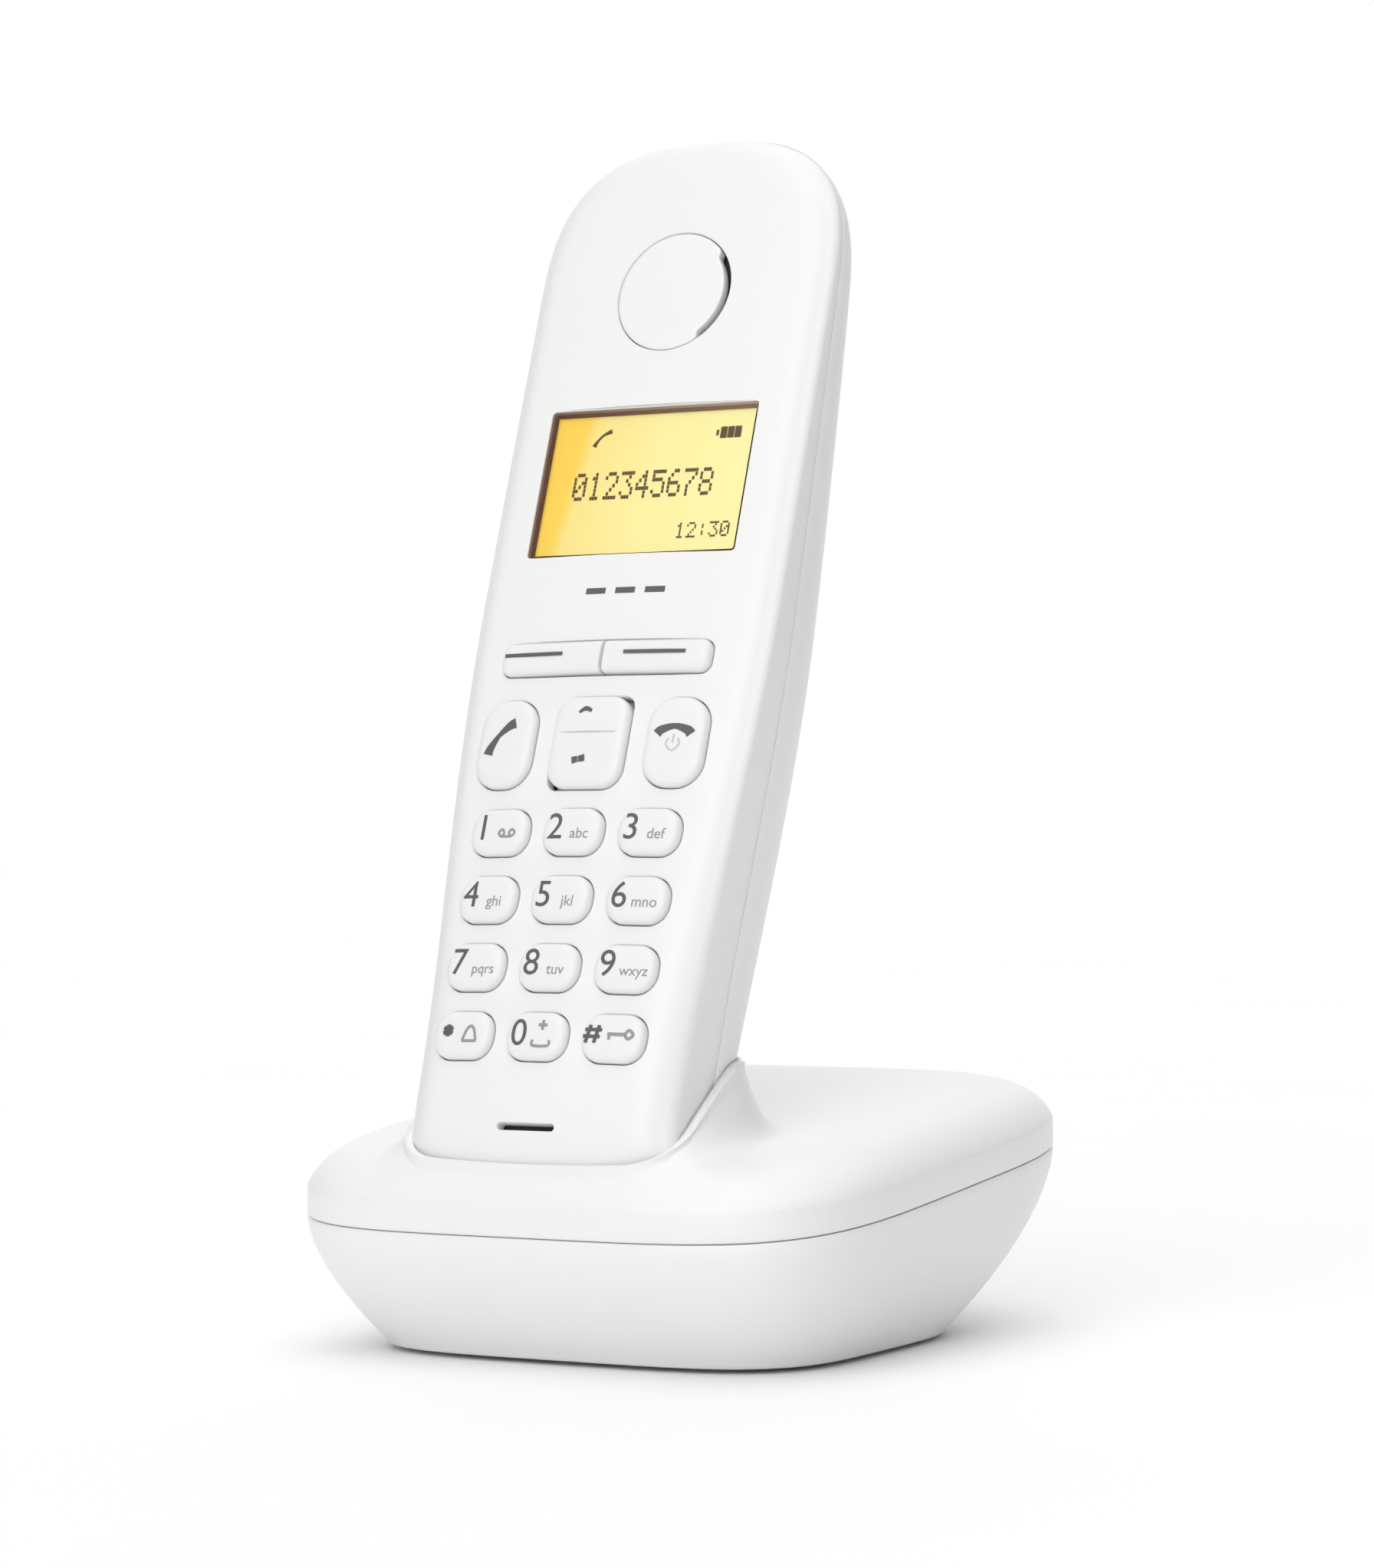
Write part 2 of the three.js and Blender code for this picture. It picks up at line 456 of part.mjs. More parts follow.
function buildHandset() {
  const outer = handsetForm(0), inner = handsetForm(HANDSET_WALL);
  const shell = outer.subtract(inner);
  const normal = new THREE.Vector3(0, 1, SEAM_TAPER);
  const offset = SEAM_DEPTH / normal.length();
  normal.normalize();
  let front = shell.trimByPlane(normal.clone().negate().toArray(), -offset + GAP / 2);
  let back = shell.trimByPlane(normal.toArray(), offset + GAP / 2);

  const opening = (ring, u, v) => { front = front.subtract(solid(facePrism(ring, ...OPENING, u, v))); };
  for (const { size, u, v, side } of keyList()) if (!side) opening(roundedRing(size, KEY_CLEAR), u, v);
  const softPair = [2 * SOFT_COLUMN + SOFT_KEY[0], SOFT_KEY[1], SOFT_KEY[2]];
  opening(roundedRing(softPair, KEY_CLEAR), KEYPAD_U, SOFT_ROW);
  opening(roundedRing([...WINDOW, 0.6], 0, 1), 0, WINDOW_AT);
  opening(roundedRing(MICROPHONE_SLOT), 0, MICROPHONE_AT);
  const round = (radius) => roundedRing([2 * radius, 2 * radius, radius], 0, 6);
  opening(round(EARPIECE_RADIUS), 0, EARPIECE_AT);
  piece(handset, "handset_front_shell", front, WHITE);

  for (const key of keyList()) piece(handset, key.name, keyCap(key), KEY_WHITE);

  // Earpiece cap, with a crescent sound slit down its right side
  const capRing = round(EARPIECE_RADIUS - GAP).map(([x, z]) => {
    const turn = Math.atan2(z, x);
    const inSlit = turn > -SLIT_DOWN && turn < SLIT_UP;
    const pull = inSlit ? 1 - SLIT_WIDTH / (EARPIECE_RADIUS - GAP) : 1;
    return [x * pull, z * pull];
  });
  piece(handset, "earpiece_cap", facePrism(capRing, CAP.from, CAP.to, 0, EARPIECE_AT), WHITE);
  const disc = (radius, from, to, u, v, sides) =>
    cylinder(radius, -to, -from, sides).rotateX(Math.PI / 2).translate(u, 0, v);
  const puck = (name, { radius, from, to }, at, sides) =>
    piece(handset, name, disc(radius, from, to, 0, at, sides), BLACK);
  puck("earpiece_receiver", RECEIVER, EARPIECE_AT, 20);
  puck("microphone", MICROPHONE, MICROPHONE_AT, 14);
  puck("ringer_speaker", RINGER, RINGER_AT, 20);

  const behindWindow = ({ from, to, beyond }) => {
    const halfW = WINDOW[0] / 2 + beyond, halfH = WINDOW[1] / 2 + beyond;
    return box([-halfW, from, WINDOW_AT - halfH], [halfW, to, WINDOW_AT + halfH]);
  };
  piece(handset, "display_window", behindWindow(PANE), CLEAR);
  piece(handset, "display_module", behindWindow(MODULE), AMBER);
  const slab = ({ size, from, to, at }) => facePrism(roundedRing(size), from, to, 0, at);
  piece(handset, "keypad_mat", slab(MAT), SILICONE);
  piece(handset, "handset_circuit_board", slab(PANEL), BOARD);

  // Back shell: battery tub, a ledge under the cover, speaker slots, screws and charging contacts
  const coverRing = (grow) => roundedRing([2 * COVER.half, COVER.top - COVER.bottom, COVER.round], grow);
  const coverMiddle = (COVER.top + COVER.bottom) / 2;
  const coverPrism = (grow, from) => solid(facePrism(coverRing(grow), from, 40, 0, coverMiddle));
  const tub = (grow, floor, from) => solid(box(
    [-TUB.half - grow, floor, TUB.bottom - grow], [TUB.half + grow, from, TUB.top + grow]));
  const under = handsetForm(COVER.thick + GAP);
  back = back.subtract(coverPrism(GAP, 14));
  const ledge = under.subtract(handsetForm(COVER.thick + GAP + LEDGE.thick))
    .intersect(coverPrism(LEDGE.out, 17));
  back = back.add(ledge).add(tub(TUB.wall, TUB.floor - TUB.wall, 30).intersect(under));
  back = back.subtract(tub(0, TUB.floor, 40));
  for (const step of [-2, -1, 0, 1, 2]) {
    const [width, height, radius] = SOUND_SLOT;
    const slot = roundedRing([width - SOUND_TAPER * Math.abs(step), height, radius], 0, 1);
    back = back.subtract(solid(facePrism(slot, 14, 30, 0, RINGER_AT + SOUND_PITCH * step)));
  }
  for (const side of [-1, 1]) {
    const at = [side * CLOSING.u, COVER.top - CLOSING.belowCover];
    const seat = handsetDepth(at[1]) - COVER.thick - 1.85;
    back = back.subtract(solid(disc(CLOSING.shank + GAP, 16, 30, ...at, 10)));
    back = back.subtract(solid(disc(CLOSING.head + GAP, seat, 30, ...at, 12)));
    const screw = solid(disc(CLOSING.head, 0, 1, 0, 0, 12)).add(solid(disc(CLOSING.shank, -7, 0.5, 0, 0, 8)))
      .subtract(solid(box([-1.2, 0.6, -0.25], [1.2, 3, 0.25])));
    piece(handset, `handset_screw_${side < 0 ? "left" : "right"}`, screw, STEEL)
      .position.set(at[0], seat + CLOSING.seat, at[1]);
    const plate = (grow) => solid(box(
      [side * CONTACT_U - CONTACT_HALF - grow, CONTACT_DEPTH - CONTACT_HALF - grow, -30],
      [side * CONTACT_U + CONTACT_HALF + grow, CONTACT_DEPTH + CONTACT_HALF + grow, CONTACT_TOP + grow]));
    back = back.subtract(plate(GAP));
    piece(handset, `charging_contact_${side < 0 ? "left" : "right"}`, plate(0).intersect(outer), METAL);
  }
  piece(handset, "handset_back_shell", back, WHITE);
  const cover = outer.subtract(handsetForm(COVER.thick)).intersect(coverPrism(0, 14));
  piece(handset, "battery_cover", cover, WHITE);
  buildBatteries();
}

// The left cell stands with its button up, the right one with its button down.
function buildBatteries() {
  const profile = [[0, 0], [CELL_RADIUS, 0], [CELL_RADIUS, CELL_LENGTH - 1], [1.9, CELL_LENGTH - 1],
    [1.9, CELL_LENGTH], [0, CELL_LENGTH]].map(([r, h]) => new THREE.Vector2(r, h));
  const coil = new THREE.Curve();
  coil.getPoint = (t) => {
    const angle = t * SPRING.turns * 2 * Math.PI, radius = SPRING.radius - SPRING.taper * t;
    return new THREE.Vector3(radius * Math.cos(angle), radius * Math.sin(angle), 0.35 + SPRING.rise * t);
  };
  const section = roundedRing([SPRING.wire, SPRING.wire, SPRING.wire / 2], 0, 1);
  const wire = new THREE.Shape(section.map(([x, y]) => new THREE.Vector2(x, y)));
  for (const side of [-1, 1]) {
    const word = side < 0 ? "left" : "right", turn = side < 0 ? 0 : Math.PI;
    const end = side < 0 ? TUB.bottom : TUB.top, ahead = side < 0 ? 1 : -1;
    const place = (mesh, along) => {
      mesh.position.set(side * CELL_SPREAD, CELL_DEPTH, end + ahead * along);
      mesh.rotation.x = turn;
    };
    const cell = new THREE.LatheGeometry(profile, 18).rotateX(Math.PI / 2);
    place(piece(handset, `battery_cell_${word}`, solid(cell), CELL), CELL_FROM_END);
    const spring = new THREE.ExtrudeGeometry(wire, { steps: 24, bevelEnabled: false, extrudePath: coil });
    place(piece(handset, `battery_spring_${word}`, solid(spring), STEEL), SPRING_FROM_END);
    const plate = box([-PLATE.half, -PLATE.half, 0], [PLATE.half, PLATE.half, PLATE.thick]);
    place(piece(handset, `battery_plate_${word}`, plate, METAL), PLATE_FROM_END);
  }
}

buildBase();
buildContactStrips();
buildHandset();

export default phone;
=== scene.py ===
"""Finished surfaces, prints and studio for a cordless phone that leans in its charging base."""

import json
import math

import bmesh
import bpy
from mathutils import Matrix, Vector

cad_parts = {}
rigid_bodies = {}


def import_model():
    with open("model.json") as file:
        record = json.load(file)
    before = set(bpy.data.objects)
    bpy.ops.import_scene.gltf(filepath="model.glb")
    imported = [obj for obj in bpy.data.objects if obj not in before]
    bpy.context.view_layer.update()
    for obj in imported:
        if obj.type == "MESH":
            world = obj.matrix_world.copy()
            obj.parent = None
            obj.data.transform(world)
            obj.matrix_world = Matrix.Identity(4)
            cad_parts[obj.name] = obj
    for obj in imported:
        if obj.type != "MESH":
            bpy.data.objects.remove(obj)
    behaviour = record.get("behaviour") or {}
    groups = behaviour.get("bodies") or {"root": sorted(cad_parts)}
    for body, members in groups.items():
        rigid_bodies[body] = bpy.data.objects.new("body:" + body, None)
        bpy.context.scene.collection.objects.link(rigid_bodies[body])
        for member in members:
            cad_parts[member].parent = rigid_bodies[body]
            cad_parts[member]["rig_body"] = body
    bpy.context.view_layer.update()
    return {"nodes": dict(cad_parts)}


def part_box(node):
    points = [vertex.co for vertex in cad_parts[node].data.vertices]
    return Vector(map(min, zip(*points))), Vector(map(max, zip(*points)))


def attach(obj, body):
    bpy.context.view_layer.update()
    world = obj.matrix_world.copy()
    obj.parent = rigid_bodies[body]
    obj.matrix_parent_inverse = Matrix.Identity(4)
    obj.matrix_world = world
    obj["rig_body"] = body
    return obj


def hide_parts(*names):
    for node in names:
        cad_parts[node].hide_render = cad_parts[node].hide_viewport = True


bl_info = {
    "name": "Cordless phone with base",
    "version": (1, 0, 0),
    "blender": (4, 5, 0),
    "location": "3D View > Sidebar > Phone",
    "description": "Builds the finished surfaces of a cordless phone and its charging base",
    "category": "Object",
}

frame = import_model()

# Everything is modelled in millimetres and placed in metres.
TO_METRES = Matrix.Scale(0.001, 4)
LEAN = math.radians(19.7)
HANDSET_AT = (0, -38.9, 45.2)
TO_HANDSET = Matrix.Translation(HANDSET_AT) @ Matrix.Rotation(-LEAN, 4, "X")
PLACE_HANDSET = TO_METRES @ TO_HANDSET


def size_of(name):
    """A size from the panel, in millimetres."""
    return round(getattr(bpy.context.scene.phone_sizes, name) * 1000, 5)


# ---- handset form: u across, d from the face to the back, v along its length --------------------

BOTTOM, TOP, HALF_WIDTH, WAIST = -24.0, 135.7, 24.3, 3.3
MIDDLE, HALF_LENGTH = (TOP + BOTTOM) / 2, (TOP - BOTTOM) / 2
BACK_ROUND = 11.0


def smooth(t):
    t = min(max(t, 0.0), 1.0)
    return t * t * (3 - 2 * t)


def straight_half(v):
    return HALF_WIDTH - WAIST * (1 - smooth((v + 10) / 75))


def seam_depth(v):
    return 11.7 - 0.062 * v


def back_depth(v):
    return 24.5 - (0.00107 if v > 20 else 0.0022) * (v - 20) ** 2


def face_depth(u, v):
    """The face is slightly barrelled, and curls back at the chin."""
    return u * u / 466 + 0.0128 * min(v + 6, 0) ** 2


def quarter(t, power):
    """Cosine and sine shares of a squared-off quarter turn."""
    angle = t * math.pi / 2
    return math.cos(angle) ** (2 / power), math.sin(angle) ** (2 / power)


def handset_outline():
    """Right side from the foot to the head, then its mirror image: point k matches point -k."""
    side = []
    for k in range(1, 16):
        across, along = quarter(1 - k / 16, 2.5)
        v = -16 + (BOTTOM + 16) * along
        side.append((straight_half(v) * across, v))
    for k in range(41):
        v = -16 + 128 * k / 40
        side.append((straight_half(v), v))
    for k in range(1, 22):
        across, along = quarter(k / 22, 2.8)
        side.append((HALF_WIDTH * across, 112 + (TOP - 112) * along))
    return [(0, BOTTOM), *side, (0, TOP), *[(-u, v) for u, v in reversed(side)]]


OUTLINE = handset_outline()


def edge_growth(v):
    return 1 - smooth((v + 18) / 60)


def face_edge(v):
    """How far in from the side the face starts to round off."""
    return 4.0 + 2.2 * edge_growth(v)


def face_round(v):
    """How deep that rounding goes."""
    return 3.4 + 1.6 * edge_growth(v)


def handset_ring(trim, end_share, depth_at):
    ring = []
    for u, v in OUTLINE:
        inward = trim(v) if callable(trim) else trim
        u *= 1 - inward / HALF_WIDTH
        v = MIDDLE + (v - MIDDLE) * (1 - inward * end_share / HALF_LENGTH)
        ring.append((u, depth_at(u, v), v))
    return ring


def front_rings(inset):
    """From the seam to the face."""
    rings = [handset_ring(inset, 1, lambda u, v, s=share: (
        face_round(v) + (seam_depth(v) - 0.5 - face_round(v)) * s)) for share in (1, 0.66, 0.33)]
    steps = 10
    for step in range(steps + 1):
        angle = step / steps * math.pi / 2
        inward, deep, share = 1 - math.cos(angle), 1 - math.sin(angle), step / steps
        rings.append(handset_ring(
            lambda v, i=inward: face_edge(v) * i + inset, 1,
            lambda u, v, d=deep, s=share: (
                face_round(v) * d * (1 - inset / 8) + inset * s + face_depth(u, v) * min(2 * s, 1))))
    rings.append(handset_ring(lambda v: face_edge(v) + 1.5 + inset, 1, lambda u, v: inset + face_depth(u, v)))
    return rings


def back_rings(inset):
    """From the seam to the flat of the back."""
    rings = [handset_ring(inset, 0.55, lambda u, v: seam_depth(v) + 0.5)]
    for step in range(1, 13):
        angle = step / 12 * math.pi / 2
        share = math.sin(angle) ** (2 / 2.2)
        trim = BACK_ROUND * (1 - math.cos(angle) ** (2 / 2.2))
        rings.append(handset_ring(
            trim + inset, 0.55,
            lambda u, v, s=share: (
                seam_depth(v) + 0.5 + (back_depth(v) - inset - 0.15 - seam_depth(v) - 0.5) * s)))
    return rings


# ---- mesh tools ---------------------------------------------------------------------------------


def edges_round(bm, loop):
    return [bm.edges.get(pair) for pair in zip(loop, loop[1:] + loop[:1])]


def loft(bm, rings):
    """A circle of edges, extruded once for each ring and moved onto it."""
    loops = [bmesh.ops.create_circle(bm, segments=len(rings[0]), radius=1)["verts"]]
    for ring in rings:
        loop = loops[-1]
        if ring is not rings[0]:
            made = bmesh.ops.extrude_edge_only(bm, edges=edges_round(bm, loop))["geom"]
            fresh = {v for v in made if isinstance(v, bmesh.types.BMVert)}
            loop = [next(e.other_vert(v) for e in v.link_edges if e.other_vert(v) in fresh) for v in loop]
            loops.append(loop)
        for vert, point in zip(loop, ring):
            vert.co = point
    return loops


def numbered(bm, loops):
    """The loops as vertex numbers, which hold while edges are divided."""
    bm.verts.index_update()
    return [[vert.index for vert in loop] for loop in loops]


def cap(bm, loop):
    bmesh.ops.contextual_create(bm, geom=edges_round(bm, loop))


def close_across(bm, numbers, cuts, settle=None):
    """Closes a loop that is its own mirror image with strips from side to side; settle places new points."""
    bm.verts.ensure_lookup_table()
    loop = [bm.verts[n] for n in numbers]
    half = len(loop) // 2
    pairs = [(loop[k], loop[-k]) for k in range(1, half)]
    bmesh.ops.contextual_create(bm, geom=[loop[0], *pairs[0]])
    for (a, b), (c, d) in zip(pairs, pairs[1:]):
        bmesh.ops.contextual_create(bm, geom=[a, b, c, d])
    bmesh.ops.contextual_create(bm, geom=[loop[half], *pairs[-1]])
    rungs = [bm.edges.get(pair) for pair in pairs]
    if cuts:
        made = bmesh.ops.subdivide_edges(bm, edges=rungs, cuts=cuts, use_grid_fill=True)["geom_inner"]
        for vert in made:
            if settle and isinstance(vert, bmesh.types.BMVert):
                settle(vert)


def rounded(width, height, radius, grow=0.0, steps=8):
    """Rounded rectangle about the origin; radius is one number, or one for each corner from upper right."""
    radii = radius if hasattr(radius, "__len__") else [radius] * 4
    points = []
    for turn, (sx, sy) in enumerate(((1, 1), (-1, 1), (-1, -1), (1, -1))):
        r = max(radii[turn] + grow, 0.05)
        cx, cy = sx * (width / 2 + grow - r), sy * (height / 2 + grow - r)
        for k in range(steps + 1):
            angle = (turn + k / steps) * math.pi / 2
            points.append((cx + r * math.cos(angle), cy + r * math.sin(angle)))
    return points


def on_face(ring, depth, u, v):
    return [(u + x, depth + face_depth(u + x, v + z), v + z) for x, z in ring]


def through_face(bm, ring_at, u, v, lip=0.24, to=3.4):
    """A cutter through the face with a softened mouth. ring_at(grow) gives its outline."""
    levels = ((lip + 0.1, -1.5), (lip, -0.05), (lip * 0.5, 0.06), (lip * 0.15, 0.18), (0, 0.4), (0, to))
    loops = loft(bm, [on_face(ring_at(grow), depth, u, v) for grow, depth in levels])
    cap(bm, loops[0])
    cap(bm, loops[-1])


def prism(bm, ring, low, high, axis="Y", at=(0, 0, 0)):
    """A straight bar with the ring's outline, along Y or Z."""
    def lift(x, y, level):
        return (at[0] + x, at[1] + level, at[2] + y) if axis == "Y" else (at[0] + x, at[1] + y, at[2] + level)
    loops = loft(bm, [[lift(x, y, level) for x, y in ring] for level in (low, high)])
    cap(bm, loops[0])
    cap(bm, loops[-1])


def circle(radius, steps=12):
    return rounded(2 * radius, 2 * radius, radius, 0, steps)


def turned(bm, profile, steps=48):
    """Spins a profile of (radius, height) points about Z."""
    verts = [bm.verts.new((r, 0, z)) for r, z in profile]
    edges = [bm.edges.new(pair) for pair in zip(verts, verts[1:])]
    bmesh.ops.spin(bm, geom=verts + edges, cent=(0, 0, 0), axis=(0, 0, 1), angle=2 * math.pi,
                   steps=steps, use_merge=True, use_duplicate=False)
    bmesh.ops.remove_doubles(bm, verts=bm.verts, dist=1e-5)


def make(bm, name, body, finish, place=TO_METRES, replaces=(), sharp=35, wall=0.0):
    """Turns a bmesh into a finished piece that rides on a body."""
    bm.transform(place)
    bmesh.ops.remove_doubles(bm, verts=bm.verts, dist=1e-7)
    bmesh.ops.recalc_face_normals(bm, faces=bm.faces)
    mesh = bpy.data.meshes.new(name)
    bm.to_mesh(mesh)
    bm.free()
    piece = bpy.data.objects.new(name, mesh)
    bpy.context.scene.collection.objects.link(piece)
    mesh.materials.append(finish)
    if wall:
        shell = piece.modifiers.new("wall", "SOLIDIFY")
        shell.thickness, shell.offset = wall * 0.001, -1
        settle_modifiers(piece)
    smooth_by_angle(piece, sharp)
    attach(piece, body)
    if replaces:
        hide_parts(*replaces)
    return piece


def smooth_by_angle(piece, degrees):
    piece.data.shade_smooth()
    piece.data.set_sharp_from_angle(angle=math.radians(degrees))


def settle_modifiers(piece):
    bpy.context.view_layer.update()
    shown = piece.evaluated_get(bpy.context.evaluated_depsgraph_get())
    mesh = bpy.data.meshes.new_from_object(shown)
    mesh.name = piece.data.name
    piece.modifiers.clear()
    piece.data = mesh


def cut(piece, cutters, place, sharp=35):
    """Cuts solids out of a piece."""
    cutters.transform(place)
    bmesh.ops.recalc_face_normals(cutters, faces=cutters.faces)
    mesh = bpy.data.meshes.new("cutter")
    cutters.to_mesh(mesh)
    cutters.free()
    tool = bpy.data.objects.new("cutter", mesh)
    bpy.context.scene.collection.objects.link(tool)
    step = piece.modifiers.new("cut", "BOOLEAN")
    step.object, step.operation, step.solver, step.use_self = tool, "DIFFERENCE", "EXACT", True
    settle_modifiers(piece)
    bpy.data.objects.remove(tool)
    smooth_by_angle(piece, sharp)
    if not piece.data.polygons:
        raise RuntimeError(piece.name + " vanished when it was cut")


def refine(node, name, finish, bevel, segments):
    """A carried-over CAD node with merged faces and softened edges."""
    source = frame["nodes"][node]
    bm = bmesh.new()
    bm.from_mesh(source.data)
    bmesh.ops.remove_doubles(bm, verts=bm.verts, dist=1e-6)
    bmesh.ops.dissolve_limit(bm, angle_limit=math.radians(3), verts=bm.verts, edges=bm.edges)
    edges = [e for e in bm.edges if e.is_manifold and e.calc_face_angle(0) > math.radians(40)]
    bmesh.ops.bevel(bm, geom=edges, offset=bevel * 0.001, segments=segments, profile=0.5, affect="EDGES",
                    material=-1, clamp_overlap=True)
    make(bm, name, source["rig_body"], finish, Matrix.Identity(4), (node,))


# ---- finishes -----------------------------------------------------------------------------------


class Value:
    """A value socket in a material; arithmetic on it adds Math nodes."""

    def __init__(self, finish, socket):
        self.finish, self.socket = finish, socket

    def math(self, operation, *values):
        return self.finish.add("ShaderNodeMath", {"operation": operation}, dict(enumerate(values)))["Value"]

    def __add__(self, other):
        return self.math("ADD", self, other)

    def __mul__(self, other):
        return self.math("MULTIPLY", self, other)

    def __sub__(self, other):
        return self.math("SUBTRACT", self, other)

    def __rsub__(self, other):
        return self.math("SUBTRACT", other, self)

    __radd__ = __add__
    __rmul__ = __mul__


class Nodes:
    """A node tree that is built node by node."""

    def __init__(self, tree):
        self.tree = tree

    def add(self, kind, settings, values):
        node = self.tree.nodes.new(kind)
        for key, value in settings.items():
            if key == "stops":
                for k, (position, colour) in enumerate(value):
                    stop = node.color_ramp.elements[k] if k < 2 else node.color_ramp.elements.new(position)
                    stop.position, stop.color = position, (*colour, 1)
            else:
                setattr(node, key, value)
        for key, value in values.items():
            if isinstance(value, Value):
                self.tree.links.new(value.socket, node.inputs[key])
            else:
                node.inputs[key].default_value = value
        return {socket.name: Value(self, socket) for socket in node.outputs}

class Finish(Nodes):
    """One material."""

    def __init__(self, name, **constants):
        self.material = bpy.data.materials.new(name)
        self.material.use_nodes = True
        super().__init__(self.material.node_tree)
        self.shader = self.tree.nodes["Principled BSDF"]
        for socket, value in constants.items():
            self.shader.inputs[socket.replace("_", " ")].default_value = value
        self.place = self.add("ShaderNodeTexCoord", {}, {})["Object"]

    def noise(self, scale, detail=3.0):
        return self.add("ShaderNodeTexNoise", {}, {
            "Vector": self.place, "Scale": scale, "Detail": detail})["Fac"]

    def mix(self, share, first, second):
        values = {0: share, 6: first, 7: second}
        node = self.tree.nodes.new("ShaderNodeMix")
        node.data_type = "RGBA"
        for key, value in values.items():
            if isinstance(value, Value):
                self.tree.links.new(value.socket, node.inputs[key])
            else:
                node.inputs[key].default_value = value if key == 0 else (*value, 1)
        return Value(self, node.outputs[2])

    def feed(self, **values):
        for socket, value in values.items():
            self.tree.links.new(value.socket, self.shader.inputs[socket.replace("_", " ")])
        return self

    def bump(self, height, strength, distance):
        return self.add("ShaderNodeBump", {}, {
            "Height": height, "Strength": strength, "Distance": distance})["Normal"]

    def axis(self, name):
        return self.add("ShaderNodeSeparateXYZ", {}, {"Vector": self.place})[name]


def shade(colour, factor):
    return tuple(min(c * factor, 1.0) for c in colour)


def between(first, second, share):
    return tuple(a + (b - a) * share for a, b in zip(first, second))


def plastic(name, colour, roughness, grain=0.02):
    finish = Finish(name, Specular_IOR_Level=0.5)
    cloud, fine = finish.noise(38), finish.noise(1400, 2)
    return finish.feed(
        Base_Color=finish.mix(cloud, shade(colour, 0.985), shade(colour, 1.012)),
        Roughness=roughness - 0.03 + cloud * 0.05 + fine * 0.02,
        Normal=finish.bump(fine, grain, 0.0001)).material


def metal(name, colour, roughness):
    finish = Finish(name, Metallic=1.0)
    cloud, fine = finish.noise(220), finish.noise(2600, 2)
    return finish.feed(
        Base_Color=finish.mix(cloud, shade(colour, 0.86), colour),
        Roughness=roughness + cloud * 0.12,
        Normal=finish.bump(fine, 0.08, 0.0001)).material


def board(name):
    finish = Finish(name)
    tracks = finish.add("ShaderNodeTexBrick", {"offset": 0.35}, {
        "Vector": finish.place, "Scale": 260.0, "Mortar Size": 0.035, "Color1": (0, 0, 0, 1),
        "Color2": (0.25, 0.25, 0.25, 1), "Mortar": (1, 1, 1, 1)})["Fac"]
    return finish.feed(
        Base_Color=finish.mix(tracks, (0.015, 0.12, 0.05), (0.05, 0.24, 0.11)),
        Roughness=0.34 + finish.noise(700) * 0.2,
        Normal=finish.bump(tracks, 0.2, 0.0002)).material


def amber(name, deep, pale):
    """A lit panel: deeper on the left, with a slanted soft edge, pale on the right."""
    finish = Finish(name, Roughness=0.55, Emission_Strength=0.62)
    across, up = finish.axis("X"), finish.axis("Z")
    slant = (across + (up - 0.118) * -0.16 + 0.0165) * 30 + (finish.noise(90) - 0.5) * 0.05
    stops = ((0.0, deep), (1.0, pale), (0.1, shade(deep, 1.05)), (0.16, between(deep, pale, 0.55)),
             (0.5, between(deep, pale, 0.85)))
    glow = finish.add("ShaderNodeValToRGB", {"stops": stops}, {"Fac": slant})["Color"]
    return finish.feed(Base_Color=glow, Emission_Color=glow).material


def clear(name):
    finish = Finish(name, Transmission_Weight=1.0, IOR=1.3)
    return finish.feed(Roughness=0.02 + finish.noise(160) * 0.02).material


# Painted shade and a painted amber glow from the panel on the display's recess walls: dark brown on the left,
# lighter brown to the right.
def lining(name, dark, lit):
    finish = Finish(name, Coat_Weight=0.3)
    across = (finish.axis("X") + 0.017) * 30 + finish.noise(300) * 0.15
    return finish.feed(
        Base_Color=finish.mix(across, dark, lit),
        Roughness=0.3 + finish.noise(900) * 0.1).material


def rubber(name, colour):
    finish = Finish(name)
    grain = finish.noise(1800, 4)
    return finish.feed(
        Base_Color=finish.mix(finish.noise(120), colour, shade(colour, 1.5)),
        Roughness=0.75 + grain * 0.15, Normal=finish.bump(grain, 0.3, 0.0002)).material


def finish_named(key):
    """Makes each finish once, from the colours in the panel."""
    look = bpy.context.scene.phone_look
    name = "phone_" + key
    if name not in bpy.data.materials:
        makers = {
            "shell": lambda: plastic(name, tuple(look.shell), look.shell_gloss),
            "key": lambda: plastic(name, tuple(look.key), look.shell_gloss + 0.08, 0.03),
            "ink": lambda: plastic(name, tuple(look.ink), 0.5, 0.05),
            "pale_ink": lambda: plastic(name, tuple(look.pale_ink), 0.5, 0.05),
            "faint_ink": lambda: plastic(name, shade(tuple(look.pale_ink), 1.9), 0.5, 0.05),
            "black": lambda: plastic(name, (0.018, 0.018, 0.02), 0.5, 0.2),
            "panel": lambda: amber(name, tuple(look.display_deep), tuple(look.display_pale)),
            "dot": lambda: plastic(name, tuple(look.dot), 0.6, 0.05),
            "window": lambda: clear(name),
            # The display's recess walls: painted shade and a painted amber glow from the panel.
            "lining": lambda: lining(name, (0.16, 0.07, 0.03), (0.42, 0.27, 0.17)),
            "brass": lambda: metal(name, (0.83, 0.66, 0.34), 0.22),
            "steel": lambda: metal(name, (0.62, 0.63, 0.65), 0.25),
            "rubber": lambda: rubber(name, (0.03, 0.03, 0.032)),
            "silicone": lambda: rubber(name, (0.55, 0.55, 0.54)),
            "board": lambda: board(name),
            "sleeve": lambda: plastic(name, (0.05, 0.26, 0.09), 0.3, 0.05),
        }
        makers[key]()
    return bpy.data.materials[name]


# ---- base form ----------------------------------------------------------------------------------

